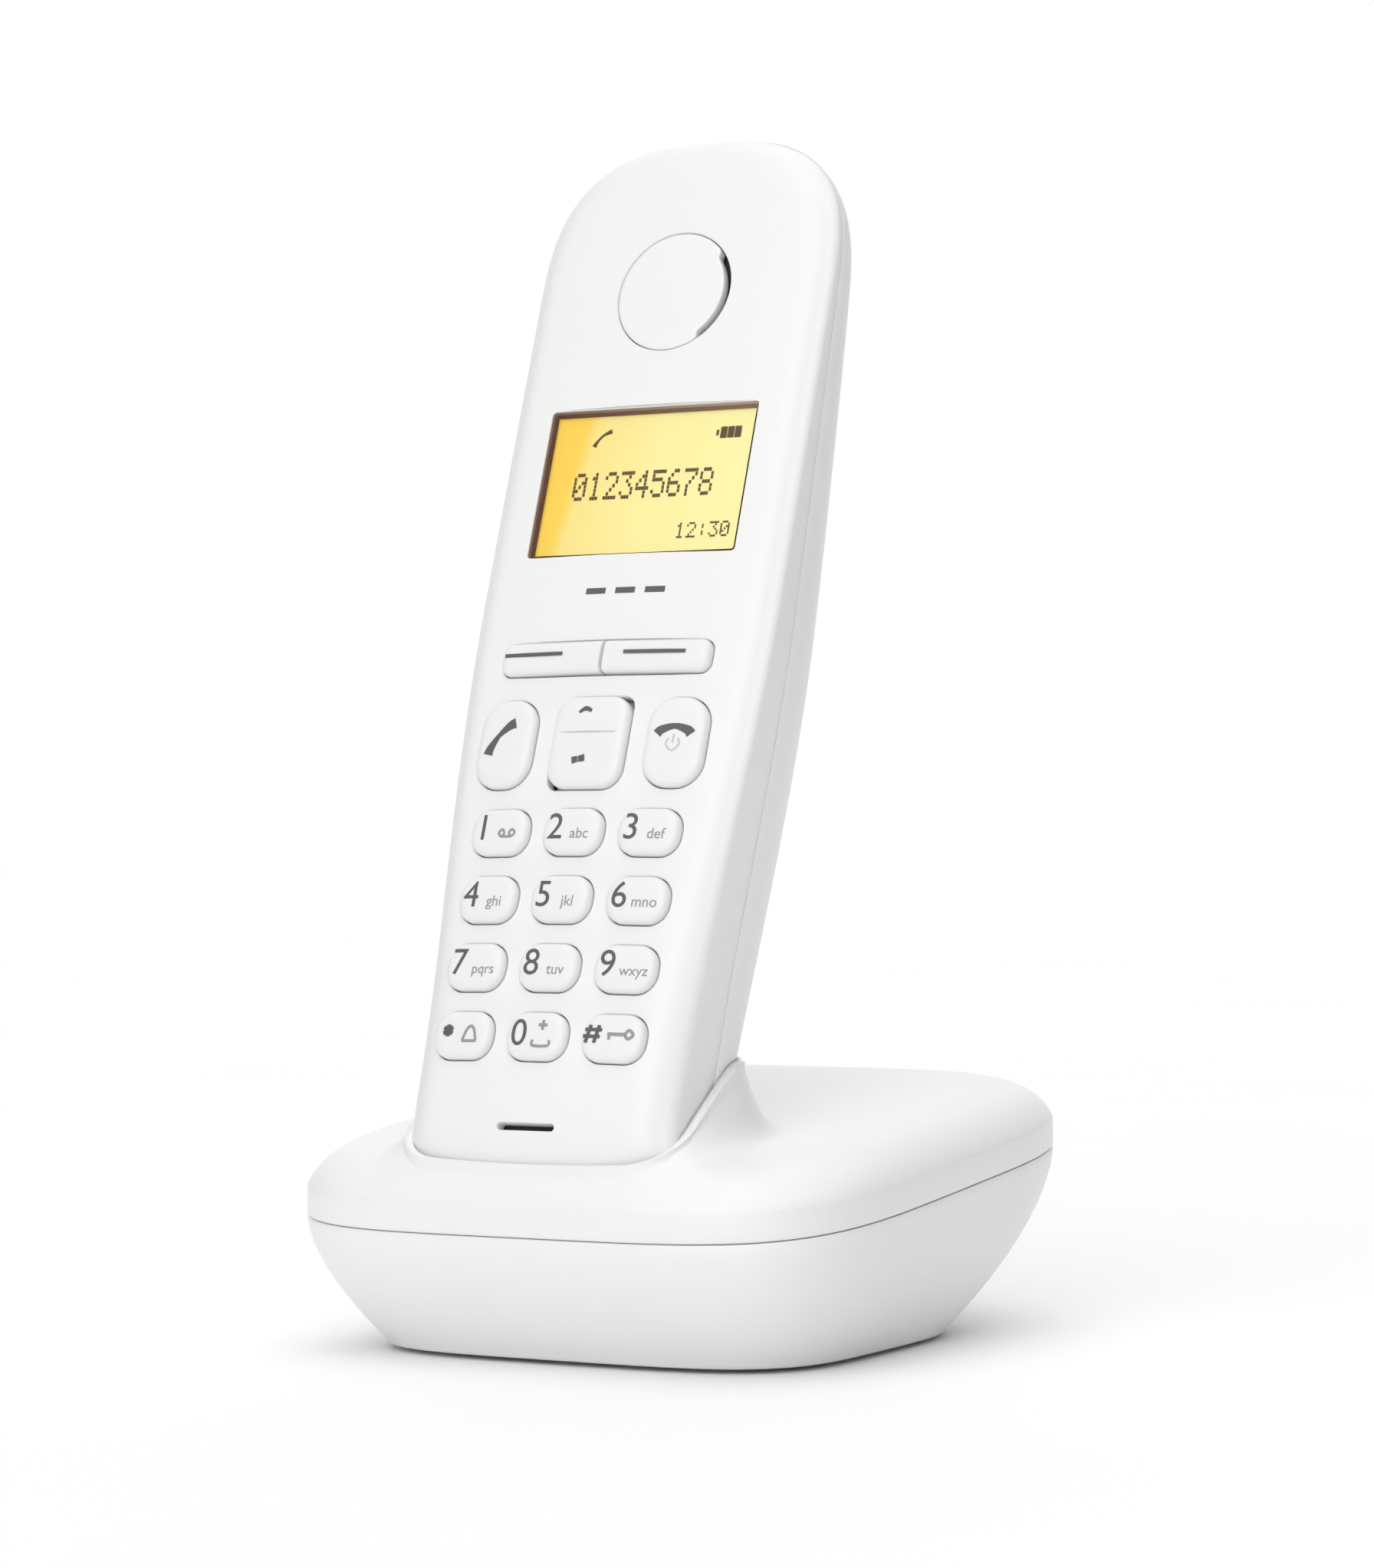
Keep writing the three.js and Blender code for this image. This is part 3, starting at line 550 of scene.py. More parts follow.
SEAM_X, SEAM_Y, SEAM_POWER = 44.8, 46.6, 4.3
FOOT_X, FOOT_Y, FOOT_POWER, FOOT_SHIFT = 35.7, 30.8, 4.1, -5.8
FLARE = 1.6
FOOT_EDGE_Z = 1.3
CLEAR = 0.3
CONTACT_U, CONTACT_DEPTH = 9, 16.5
SOCKETS = ((-13, 13), (13, 11))
SOCKET_Z, SOCKET_HEIGHT, SOCKET_CLEAR = 9.9, 10, 0.6
FOOT_RECESS, SCREW_RECESS, SCREW_BORE, PAGING_BORE = 4.8, 2.6, 1.5, 4.5
POCKET_FLOOR = -24.6
RIM_TOP = 41.5


def base_seam(y):
    return 22.8 + 0.096 * y


def ellipse(half_x, half_y, power, shift=0.0, count=176):
    """Evenly spaced points of a squared-off ellipse, anticlockwise from its front middle."""
    dense = []
    for k in range(2400):
        angle = k / 2400 * 2 * math.pi - math.pi / 2
        c, s = math.cos(angle), math.sin(angle)
        dense.append((math.copysign(half_x * abs(c) ** (2 / power), c),
                      shift + math.copysign(half_y * abs(s) ** (2 / power), s)))
    length = [0.0]
    for (x0, y0), (x1, y1) in zip(dense, dense[1:] + dense[:1]):
        length.append(length[-1] + math.hypot(x1 - x0, y1 - y0))
    points, at = [], 0
    for k in range(count):
        goal = length[-1] * k / count
        while length[at + 1] < goal:
            at += 1
        share = (goal - length[at]) / (length[at + 1] - length[at])
        (x0, y0), (x1, y1) = dense[at], dense[(at + 1) % len(dense)]
        points.append((x0 + (x1 - x0) * share, y0 + (y1 - y0) * share))
    return points


def trim_at(x, y):
    """How far a point lies inside the seam outline."""
    low, high = 0.0, SEAM_X - 0.5
    for _ in range(28):
        trim = (low + high) / 2
        outside = (abs(x) / (SEAM_X - trim)) ** SEAM_POWER + (abs(y) / (SEAM_Y - trim)) ** SEAM_POWER > 1
        low, high = (low, trim) if outside else (trim, high)
    return low


def shoulder(trim):
    return 4.0 + 6.2 * (1 - (1 - min(trim / 20, 1)) ** 5) ** (1 / 1.3)


def rim_height(y):
    slope = 26.2 + 0.72 * (y + 46.2)
    spare = RIM_TOP - slope
    return RIM_TOP - 0.5 * (spare + math.sqrt(spare * spare + 3.0))


def pocket_half(v):
    low = max(min((-16 - v) / (-16 - POCKET_FLOOR), 0.97), 0.0)
    return straight_half(v) * (1 - low ** 2.5) ** (1 / 2.5) + CLEAR


def in_pocket(u, d, v):
    half = pocket_half(v)
    side = half - abs(u)
    if side <= 0:
        return False
    edge = 1 - min(side / face_edge(v), 1)
    front = face_depth(u, v) - CLEAR + face_round(v) * (1 - math.sqrt(max(1 - edge * edge, 0)))
    bend = 1 - min(side / BACK_ROUND, 1)
    back = seam_depth(v) + (back_depth(v) + CLEAR - seam_depth(v)) * (1 - bend ** 2.2) ** (1 / 2.2)
    return front < d < back


def pocket_point(angle, v):
    """Where a ray from the middle of the pocket's section meets its wall."""
    low, high = 0.0, 40.0
    for _ in range(30):
        reach = (low + high) / 2
        inside = in_pocket(reach * math.cos(angle), 12 + reach * math.sin(angle), v)
        low, high = (reach, high) if inside else (low, reach)
    return Vector((low * math.cos(angle), 12 + low * math.sin(angle), v))


def pocket_rim(angle):
    """The level at which the wall meets the sloping rim."""
    low, high = -23.5, 14.0
    for _ in range(30):
        v = (low + high) / 2
        at = TO_HANDSET @ pocket_point(angle, v)
        low, high = (low, v) if at.z > rim_height(at.y) else (v, high)
    return low


def outward(centre, through):
    """Where the ray from centre through a point crosses the seam outline."""
    ray = (through - centre).normalized()
    low, high = 0.0, 120.0
    for _ in range(32):
        reach = (low + high) / 2
        x, y = centre + ray * reach
        inside = (abs(x) / SEAM_X) ** SEAM_POWER + (abs(y) / SEAM_Y) ** SEAM_POWER < 1
        low, high = (reach, high) if inside else (low, reach)
    return centre + ray * low


def build_base_top():
    count, centre, spread = 192, Vector((0, -29)), size_of("rim_spread")
    angles = [k / count * 2 * math.pi - math.pi / 2 for k in range(count)]
    levels = [pocket_rim(a) for a in angles]
    rims = [TO_HANDSET @ pocket_point(a, v) for a, v in zip(angles, levels)]
    outer = [outward(centre, p.xy) for p in rims]
    rings = []
    for trim, rise in ((1.5, 0.08), (0.3, 0.08), (0.1, 0.15), (0.0, 0.4), (0.0, 1.6), (0.0, 2.8)):
        share = 1 - trim / SEAM_X
        rings.append([(p.x * share, p.y * share, base_seam(p.y) + rise) for p in outer])
    steps = 34
    for step in range(steps):
        s = step / steps
        share = s ** 2 / (s ** 2 + (1 - s) ** 2)
        ring = []
        for start, rim in zip(outer, rims):
            at = start.lerp(rim.xy, share)
            reach = (rim.xy - start).length * (1 - share)
            plain = base_seam(at.y) + shoulder(trim_at(*at))
            lift = rim.z - (base_seam(rim.y) + shoulder(trim_at(*rim.xy)))
            near = max(1 - max(reach - 0.7, 0) / spread, 0) ** 2.5
            near -= 0.1 * max(0.7 - reach, 0) ** 2
            ring.append((at.x, at.y, plain + lift * near))
        rings.append(ring)
    for drop, lift in ((0.0, 0.0), (0.25, 0.06), (0.7, 0.0)):
        rings.append([tuple(TO_HANDSET @ (pocket_point(a, v - drop) + Vector((0, 0, lift))))
                      for a, v in zip(angles, levels)])
    for share in (0.3, 0.6, 0.85, 1.0):
        rings.append([tuple(TO_HANDSET @ pocket_point(a, v - 0.7 + (POCKET_FLOOR + 0.7 - v) * share))
                      for a, v in zip(angles, levels)])
    bm = bmesh.new()
    loops = loft(bm, rings)
    close_across(bm, numbered(bm, loops)[-1], 0)
    top = make(bm, "base_top_cover", "base", finish_named("shell"), replaces=("base_top_shell",),
               wall=size_of("base_top_wall"), sharp=50)
    slots = bmesh.new()
    for side in (-1, 1):
        prism(slots, rounded(3.2, 2.0, 0.4), -34, -20, "Z", (side * CONTACT_U, CONTACT_DEPTH, 0))
    cut(top, slots, PLACE_HANDSET, sharp=50)


def build_base_bottom():
    rings = []
    for down in (1.0, 0.96, 0.9, 0.8, 0.7, 0.6, 0.5, 0.4, 0.3, 0.2, 0.1, 0.0):
        share = down ** FLARE
        outline = ellipse(SEAM_X + (FOOT_X - SEAM_X) * share, SEAM_Y + (FOOT_Y - SEAM_Y) * share,
                          SEAM_POWER + (FOOT_POWER - SEAM_POWER) * share, FOOT_SHIFT * share)
        rings.append([(x, y, FOOT_EDGE_Z + (1 - down) * (base_seam(y) - 0.4 - FOOT_EDGE_Z))
                      for x, y in outline])
    for trim, drop in ((0.1, 0.15), (0.3, 0.08), (1.5, 0.08)):
        outline = ellipse(SEAM_X - trim, SEAM_Y - trim, SEAM_POWER)
        rings.append([(x, y, base_seam(y) - drop) for x, y in outline])
    foot = []
    for trim, z in ((3.5, 0.6), (1.1, 0.6), (0.5, 0.7), (0.15, 0.95)):
        outline = ellipse(FOOT_X - trim, FOOT_Y - trim, FOOT_POWER, FOOT_SHIFT)
        foot.append([(x, y, z) for x, y in outline])
    bm = bmesh.new()
    loops = loft(bm, foot + rings)
    close_across(bm, numbered(bm, loops)[0], 0)
    bottom = make(bm, "base_bottom_cover", "base", finish_named("shell"), replaces=("base_bottom_shell",),
                  wall=size_of("base_bottom_wall"), sharp=50)
    holes = bmesh.new()
    for x, width in SOCKETS:
        prism(holes, rounded(width + SOCKET_CLEAR, SOCKET_HEIGHT, 0.8), 20, 60, "Y", (x, 0, SOCKET_Z))
    for node in frame["nodes"]:
        low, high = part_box(node)
        middle = (low + high) * 500
        if node.startswith("rubber_foot"):
            prism(holes, circle(FOOT_RECESS), -1, 1.8, "Z", (middle.x, middle.y, 0))
        if node.startswith("base_screw"):
            prism(holes, circle(SCREW_RECESS), -1, 1.8, "Z", (middle.x, middle.y, 0))
            prism(holes, circle(SCREW_BORE), 1, 6, "Z", (middle.x, middle.y, 0))
    cut(bottom, holes, TO_METRES, sharp=50)
    bore = bmesh.new()
    prism(bore, circle(PAGING_BORE), -8, 8, "Z")
    cut(bottom, bore, TO_METRES @ PAGING_PLACE, sharp=50)


PAGING_PLACE = Matrix.Translation((0, 40.7, 18)) @ Matrix.Rotation(math.radians(-126), 4, "X")


def build_base_fittings():
    bm = bmesh.new()
    turned(bm, ((0, 0.7), (2.4, 0.68), (3.3, 0.55), (3.8, 0.3), (4.1, -0.1), (4.2, -0.6), (4.2, -3.6),
                (0, -3.6)))
    make(bm, "paging_key_cap", "paging_key", finish_named("key"), TO_METRES @ PAGING_PLACE, ("paging_key",))
    for node in sorted(frame["nodes"]):
        if node.startswith("rubber_foot"):
            refine(node, node + "_pad", finish_named("rubber"), 0.35, 3)
        elif "screw" in node:
            refine(node, node + "_finished", finish_named("steel"), 0.12, 2)
        elif node.endswith("_socket"):
            refine(node, node + "_body", finish_named("black"), 0.25, 2)
        elif node.endswith("circuit_board"):
            refine(node, node + "_panel", finish_named("board"), 0.1, 1)
        elif node.startswith("charging_"):
            refine(node, node + "_metal", finish_named("brass"), 0.08, 2)
        elif node.startswith("battery_plate"):
            refine(node, node + "_metal", finish_named("brass"), 0.08, 1)
    bm = bmesh.new()
    for k in range(4):
        prism(bm, rounded(0.5, 0.25, 0.1, 0, 3), 21.0, 28.0, "Y", (-13 + (k - 1.5) * 1.27, 0, 12.6))
    make(bm, "line_socket_wires", "base", finish_named("brass"))
    bm = bmesh.new()
    prism(bm, circle(0.9, 5), 20.4, 27.0, "Y", (13, 0, 9.85))
    make(bm, "power_socket_pin", "base", finish_named("steel"))


# ---- handset ------------------------------------------------------------------------------------

KEYPAD_U, COLUMN, ROW, LOWEST_ROW = -0.5, 12.0, 9.78, -0.3
KEY, TALL, ROCKER, SOFT = (9.4, 6.7, 2.9), (9.1, 13.0, 3.9), (11.8, 13.4, 3.0), (16.7, 4.7, 1.5)
WINDOW = (33.8, 22.5, 0.5)
EARPIECE_OPENING, EARPIECE_DISC = 9.2, 9.08
SLIT_LOW, SLIT_HIGH, SLIT_FADE, SLIT_WIDTH = -58, 43, 7, 0.95
MICROPHONE_SLOT = (9.0, 0.95, 0.47)
# Outline grown by, and depth: a flange, a straight side and a rounded top edge
KEY_LEVELS = ((0.45, 2.9), (0.45, 2.42), (0.0, 2.4), (0.0, 0.4), (0.0, -0.25), (-0.06, -0.55), (-0.2, -0.8),
              (-0.42, -0.98), (-0.75, -1.09), (-1.2, -1.14), (-1.7, -1.15))
WINDOW_AT, EARPIECE_AT, MICROPHONE_AT = 81.85, 110.9, -13.0
TALL_AT, TALL_COLUMN, SOFT_AT, SOFT_COLUMN = 42.1, 13.7, 54.8, 8.5


def key_table():
    """Name, size, u and v of each key."""
    names = (("star", "0", "hash"), ("7", "8", "9"), ("4", "5", "6"), ("1", "2", "3"))
    keys = [(f"key_{name}", KEY, KEYPAD_U + (column - 1) * COLUMN, LOWEST_ROW + row * ROW)
            for row, line in enumerate(names) for column, name in enumerate(line)]
    others = (("call_key", TALL, -TALL_COLUMN, TALL_AT), ("end_key", TALL, TALL_COLUMN, TALL_AT),
              ("rocker_key", ROCKER, 0, TALL_AT), ("soft_key_left", SOFT, -SOFT_COLUMN, SOFT_AT),
              ("soft_key_right", SOFT, SOFT_COLUMN, SOFT_AT))
    return keys + [(name, size, KEYPAD_U + u, v) for name, size, u, v in others]


def build_front():
    bm = bmesh.new()
    wall, gap = size_of("shell_wall"), size_of("key_gap")
    inner, outer = front_rings(wall), front_rings(0)
    rim = [handset_ring(trim, 1, lambda u, v, d=drop: seam_depth(v) - d)
           for trim, drop in ((wall, 0.1), (0.3, 0.1), (0.1, 0.18))]
    loops = numbered(bm, loft(bm, inner[::-1] + rim + outer))

    def settle(inset):
        def place(vert):
            vert.co.y = inset + face_depth(vert.co.x, vert.co.z)
        return place
    close_across(bm, loops[0], 3, settle(wall))
    close_across(bm, loops[-1], 15, settle(0))
    front = make(bm, "handset_front", "handset", finish_named("shell"), PLACE_HANDSET,
                 ("handset_front_shell",))
    holes = bmesh.new()
    for name, (width, height, radius), u, v in key_table():
        if name.startswith("soft"):
            continue
        corners = (1.5, radius, 1.5, radius) if name == "rocker_key" else radius
        through_face(holes, lambda g, w=width, h=height, r=corners: rounded(w, h, r, gap + g), u, v)
    pair = 2 * SOFT_COLUMN + SOFT[0]
    through_face(holes, lambda g: rounded(pair, SOFT[1], SOFT[2], gap + g), KEYPAD_U, SOFT_AT)
    through_face(holes, lambda g: rounded(*WINDOW, g, 4), 0, WINDOW_AT, 0.15)
    through_face(holes, lambda g: rounded(*MICROPHONE_SLOT, g, 6), KEYPAD_U, MICROPHONE_AT + 0.3, 0.14)
    across = 2 * EARPIECE_OPENING
    through_face(holes, lambda g: rounded(across, across, EARPIECE_OPENING, g, 20), 0, EARPIECE_AT, 0.22)
    cut(front, holes, PLACE_HANDSET)


COVER = (28.0, 60.5, 3.0)
COVER_AT = 37.75
TUB = (22.6, 50.1, 1.2)
TUB_AT = 36.55
BAY_SCREW_U, BAY_SCREW_V = 8, 64.9


def on_back(ring, lift, v):
    return [(x, back_depth(v + z) + lift, v + z) for x, z in ring]


def build_back():
    bm = bmesh.new()
    wall = size_of("shell_wall")
    inner, outer = back_rings(wall), back_rings(0)
    rim = [handset_ring(trim, share, lambda u, v, d=drop: seam_depth(v) + d)
           for trim, share, drop in ((wall, 0.55, 0.1), (0.3, 1, 0.1), (0.1, 1, 0.18))]
    loops = numbered(bm, loft(bm, inner[::-1] + rim + outer))

    def settle(inset):
        def place(vert):
            edge = HALF_WIDTH - BACK_ROUND
            vert.co.y = back_depth(vert.co.z) - inset - 0.15 * (vert.co.x / edge) ** 2
        return place
    close_across(bm, loops[0], 3, settle(wall))
    close_across(bm, loops[-1], 9, settle(0))
    back = make(bm, "handset_back", "handset", finish_named("shell"), PLACE_HANDSET, ("handset_back_shell",))
    holes = bmesh.new()
    prism(holes, rounded(*COVER, 0.2), 15, 40, "Y", (0, 0, COVER_AT))
    for step in range(-2, 3):
        prism(holes, rounded(14 - 2.5 * abs(step), 1.4, 0.69, 0, 5), 14, 30, "Y", (0, 0, 84 + 3.6 * step))
    for side in (-1, 1):
        prism(holes, rounded(4.5, 4.5, 0.4), -34, -19.5, "Z",
              (side * CONTACT_U, CONTACT_DEPTH, 0))
    cut(back, holes, PLACE_HANDSET)
    build_bay()
    build_cover()


def build_bay():
    """The battery tub and the ledge that the cover lies on."""
    def tub(grow, depth=None, lift=0.0):
        ring = rounded(*TUB, grow, 8)
        if depth is None:
            return on_back(ring, lift, TUB_AT)
        return [(x, depth, TUB_AT + z) for x, z in ring]
    ledge = rounded(*COVER, 1.4, 8)
    bm = bmesh.new()
    loops = loft(bm, [tub(1.0, 9.0), tub(1.0, None, -3.2), on_back(ledge, -3.2, COVER_AT),
                      on_back(ledge, -2.1, COVER_AT), tub(0.3, None, -2.1),
                      tub(0.0, None, -2.4), tub(0.0, 10.6), tub(-0.5, 10.1)])
    cap(bm, loops[0])
    cap(bm, loops[-1])
    bay = make(bm, "battery_bay", "handset", finish_named("shell"), PLACE_HANDSET)
    bores = bmesh.new()
    for side in (-1, 1):
        prism(bores, circle(2.3), 18.9, 40, "Y", (side * BAY_SCREW_U, 0, BAY_SCREW_V))
        prism(bores, circle(1.3), 10, 30, "Y", (side * BAY_SCREW_U, 0, BAY_SCREW_V))
    cut(bay, bores, PLACE_HANDSET)


def build_cover():
    """A thin panel that carries on the curve of the back, with a thumb grip at its top."""
    bm = bmesh.new()
    levels = ((-0.1, -1.6), (0, -1.4), (0, -0.25), (-0.08, -0.09), (-0.25, -0.01), (-1.2, 0.0))
    rings = []
    for grow, lift in levels:
        rings.append([(x, back_depth(COVER_AT + z) + lift - 0.15 * (x / 13.3) ** 2, COVER_AT + z)
                      for x, z in rounded(*COVER, grow, 10)])
    loops = loft(bm, rings)
    for loop in (loops[0], loops[-1]):
        cap(bm, loop)
    bmesh.ops.triangulate(bm, faces=[f for f in bm.faces if len(f.verts) > 4])
    cover = make(bm, "battery_cover_panel", "battery_cover", finish_named("shell"), PLACE_HANDSET,
                 ("battery_cover",))
    grips = bmesh.new()
    for k in range(5):
        at = 58 + 1.5 * k
        prism(grips, rounded(9 - 0.9 * k, 0.6, 0.29, 0, 4), back_depth(at) - 0.35, 40, "Y", (0, 0, at))
    cut(cover, grips, PLACE_HANDSET)


def build_keys():
    for name, (width, height, radius), u, v in key_table():
        side = {"soft_key_left": 1, "soft_key_right": -1}.get(name, 0)
        bm = bmesh.new()
        rings = []
        for grow, depth in KEY_LEVELS:
            radii = [radius] * 4
            if side:
                radii = [0.3 if (1 if k in (0, 3) else -1) == side else radius for k in range(4)]
            ring = rounded(width, height, radii, grow, 9)
            if side:
                limit = width / 2 - (0.0 if grow >= 0 else 0.25 * min(-grow, 0.5))
                ring = [(side * limit if x * side > limit or (grow < 0 and x * side > width / 2 + grow - 0.02)
                         else x, z) for x, z in ring]
            rings.append(on_face(ring, depth, u, v))
        loops = loft(bm, rings)
        cap(bm, loops[0])
        cap(bm, loops[-1])
        make(bm, name + "_cap", name, finish_named("key"), PLACE_HANDSET, (name,), 50)


def build_face_fittings():
    bm = bmesh.new()
    levels = ((-0.1, 1.7), (0.0, 1.5), (0.0, 0.3), (-0.06, 0.14), (-0.2, 0.06), (-0.6, 0.04))
    rings = []
    for grow, depth in levels:
        ring = []
        for x, z in rounded(2 * EARPIECE_DISC, 2 * EARPIECE_DISC, EARPIECE_DISC, grow, 24):
            turn = math.degrees(math.atan2(z, x))
            slit = smooth((turn - SLIT_LOW) / SLIT_FADE) * smooth((SLIT_HIGH - turn) / SLIT_FADE)
            share = 1 - slit * SLIT_WIDTH / EARPIECE_DISC
            ring.append((x * share, z * share))
        rings.append(on_face(ring, depth, 0, EARPIECE_AT))
    loops = loft(bm, rings)
    cap(bm, loops[0])
    cap(bm, loops[-1])
    make(bm, "earpiece_disc", "handset", finish_named("shell"), PLACE_HANDSET, ("earpiece_cap",))
    for name, ring, low, high, v in (
            ("earpiece_gasket", circle(9.9), 2.05, 2.35, EARPIECE_AT),
            ("microphone_gasket", rounded(13, 4, 1), 2.75, 3.9, MICROPHONE_AT)):
        bm = bmesh.new()
        prism(bm, ring, low, high, "Y", (0, 0, v))
        make(bm, name, "handset", finish_named("black"), PLACE_HANDSET)
    for node in ("earpiece_receiver", "microphone", "ringer_speaker"):
        refine(node, node + "_can", finish_named("black"), 0.3, 2)
    refine("keypad_mat", "keypad_sheet", finish_named("silicone"), 0.1, 1)


# ---- display ------------------------------------------------------------------------------------

DIGITS = {
    "0": "01110 10001 10011 10101 11001 10001 01110", "1": "00100 01100 00100 00100 00100 00100 01110",
    "2": "01110 10001 00001 00010 00100 01000 11111", "3": "11111 00010 00100 00010 00001 10001 01110",
    "4": "00010 00110 01010 10010 11111 00010 00010", "5": "11111 10000 11110 00001 00001 10001 01110",
    "6": "00110 01000 10000 11110 10001 10001 01110", "7": "11111 00001 00010 00100 01000 01000 01000",
    "8": "01110 10001 10001 01110 10001 10001 01110", "9": "01110 10001 10001 01111 00001 00010 01100",
    ":": "00000 00100 00100 00000 00100 00100 00000",
}
PANE, PANEL = (0.9, 1.5), (1.8, 5.3)
PANEL_FACE, INK = 1.79, 0.05


def dots(bm, rows, left, bottom, pitch_x, pitch_y):
    """Small flat squares on the panel wherever a row holds a 1."""
    for down, row in enumerate(rows):
        for along, bit in enumerate(row):
            if bit == "1":
                at = (left + (along + 0.5) * pitch_x, 0, bottom + (len(rows) - down - 0.5) * pitch_y)
                dot = rounded(pitch_x * 0.9, pitch_y * 0.9, 0.03, 0, 1)
                prism(bm, dot, PANEL_FACE - INK, PANEL_FACE, "Y", at)


def digits(bm, text, left, bottom, pitch_x, pitch_y):
    for k, letter in enumerate(text):
        dots(bm, DIGITS[letter].split(), left + k * 6 * pitch_x, bottom, pitch_x, pitch_y)


def build_display():
    width, height, radius = WINDOW
    bm = bmesh.new()
    prism(bm, rounded(width - 0.6, height - 0.6, 0.4, 0, 5), *PANE, "Y", (0, 0, WINDOW_AT))
    make(bm, "display_pane", "handset", finish_named("window"), PLACE_HANDSET, ("display_window",))
    bm = bmesh.new()
    prism(bm, rounded(width - 0.6, height - 0.6, 0.4, 0, 5), *PANEL, "Y", (0, 0, WINDOW_AT))
    make(bm, "display_panel", "handset", finish_named("panel"), PLACE_HANDSET, ("display_module",))
    bm = bmesh.new()
    # Outline grown by, depth, and its shift across and up: the slope is wider at the left and top, where it
    # carries a band of painted shade.
    levels = ((-0.02, 0.12, 0, 0), (-0.02, 2.6, 0, 0), (-0.27, 2.6, 0, 0), (-0.27, 0.92, 0, 0),
              (-0.55, 0.85, 0.3, -0.25), (-0.15, 0.12, 0, 0))
    rings = [on_face(rounded(width, height, radius, grow, 4), depth, across, WINDOW_AT + up)
             for grow, depth, across, up in levels]
    for k in (1, 2):
        rings[k] = [(x, levels[k][1], z) for x, _, z in rings[k]]
    loft(bm, rings + [rings[0]])
    # The recess walls carry painted shade and a painted amber glow, not a colour of their own.
    make(bm, "display_lining", "handset", finish_named("lining"), PLACE_HANDSET)
    bm = bmesh.new()
    digits(bm, "012345678", -11.9, 79.5, 0.432, 0.61)
    make(bm, "display_digits", "handset", finish_named("dot"), PLACE_HANDSET)
    bm = bmesh.new()
    digits(bm, "12:30", 6.3, 73.1, 0.3, 0.34)
    make(bm, "display_clock", "handset", finish_named("dot"), PLACE_HANDSET)
    bm = bmesh.new()
    for k in range(3):
        prism(bm, rounded(1.05, 1.75, 0.1, 0, 2), PANEL_FACE - INK, PANEL_FACE, "Y",
              (11.5 + 1.15 * k, 0, 89.0))
    prism(bm, rounded(0.4, 0.9, 0.1, 0, 2), PANEL_FACE - INK, PANEL_FACE, "Y", (10.5, 0, 89.0))
    stroke(bm, [(-9.6, 87.8), (-9.1, 88.7), (-8.2, 89.6), (-7.0, 90.1)], [0.75, 0.4, 0.4, 0.75],
           PANEL_FACE - INK, False)
    make(bm, "display_icons", "handset", finish_named("dot"), PLACE_HANDSET)


# ---- prints -------------------------------------------------------------------------------------

KEY_TOP = -1.17


def stroke(bm, path, widths, depth, follow=True):
    """A flat band of ink along a path of (u, v) points, with one width, or one for each point."""
    if isinstance(widths, float):
        widths = [widths] * len(path)
    fine, wide = [], []
    for k in range(len(path) - 1):
        p = [Vector(path[min(max(k + j, 0), len(path) - 1)]) for j in (-1, 0, 1, 2)]
        for step in range(6):
            t = step / 6
            fine.append(0.5 * (2 * p[1] + (p[2] - p[0]) * t + (2 * p[0] - 5 * p[1] + 4 * p[2] - p[3]) * t * t
                               + (3 * p[1] - p[0] - 3 * p[2] + p[3]) * t ** 3))
            wide.append(widths[k] + (widths[k + 1] - widths[k]) * t)
    fine.append(Vector(path[-1]))
    wide.append(widths[-1])
    right, left = [], []
    for k, point in enumerate(fine):
        along = (fine[min(k + 1, len(fine) - 1)] - fine[max(k - 1, 0)]).normalized()
        offset = Vector((-along.y, along.x)) * wide[k] / 2
        left.append(point + offset)
        right.append(point - offset)
    ring = right + left[::-1]
    rings = [[(p.x, d + (face_depth(p.x, p.y) if follow else 0), p.y) for p in ring]
             for d in (depth, depth + 0.03)]
    loops = loft(bm, rings)
    cap(bm, loops[0])
    cap(bm, loops[-1])


def lettering(bm, text, size, u, v):
    """Flat type, made a mesh before it is placed on the face."""
    curve = bpy.data.curves.new("type", "FONT")
    curve.body, curve.size, curve.extrude = text, size, 0.015
    curve.align_x, curve.align_y = "CENTER", "CENTER"
    item = bpy.data.objects.new("type", curve)
    bpy.context.scene.collection.objects.link(item)
    bpy.context.view_layer.update()
    mesh = bpy.data.meshes.new_from_object(item.evaluated_get(bpy.context.evaluated_depsgraph_get()))
    bpy.data.objects.remove(item)
    before = set(bm.verts)
    bm.from_mesh(mesh)
    for vert in bm.verts:
        if vert not in before:
            x, y, z = vert.co
            vert.co = (u + x, KEY_TOP - z + face_depth(u + x, v + y), v + y)


LETTERS = {"2": "abc", "3": "def", "4": "ghi", "5": "jkl", "6": "mno", "7": "pqrs", "8": "tuv", "9": "wxyz"}


def build_prints():
    for name, _, u, v in key_table():
        mark = name[4:] if name.startswith("key_") else ""
        if mark.isdigit():
            bm = bmesh.new()
            lettering(bm, mark, size_of("digit_size"), u - 2.45, v + (0.1 if mark == "0" else 0.35))
            make(bm, name + "_digit", name, finish_named("ink"), PLACE_HANDSET)
        if mark in LETTERS:
            bm = bmesh.new()
            wide = len(LETTERS[mark]) > 3
            letter = size_of("letter_size") - (0.1 if wide else 0)
            lettering(bm, LETTERS[mark], letter, u + (1.7 if wide else 1.5), v - 0.5)
            make(bm, name + "_letters", name, finish_named("pale_ink"), PLACE_HANDSET)
    build_marks()


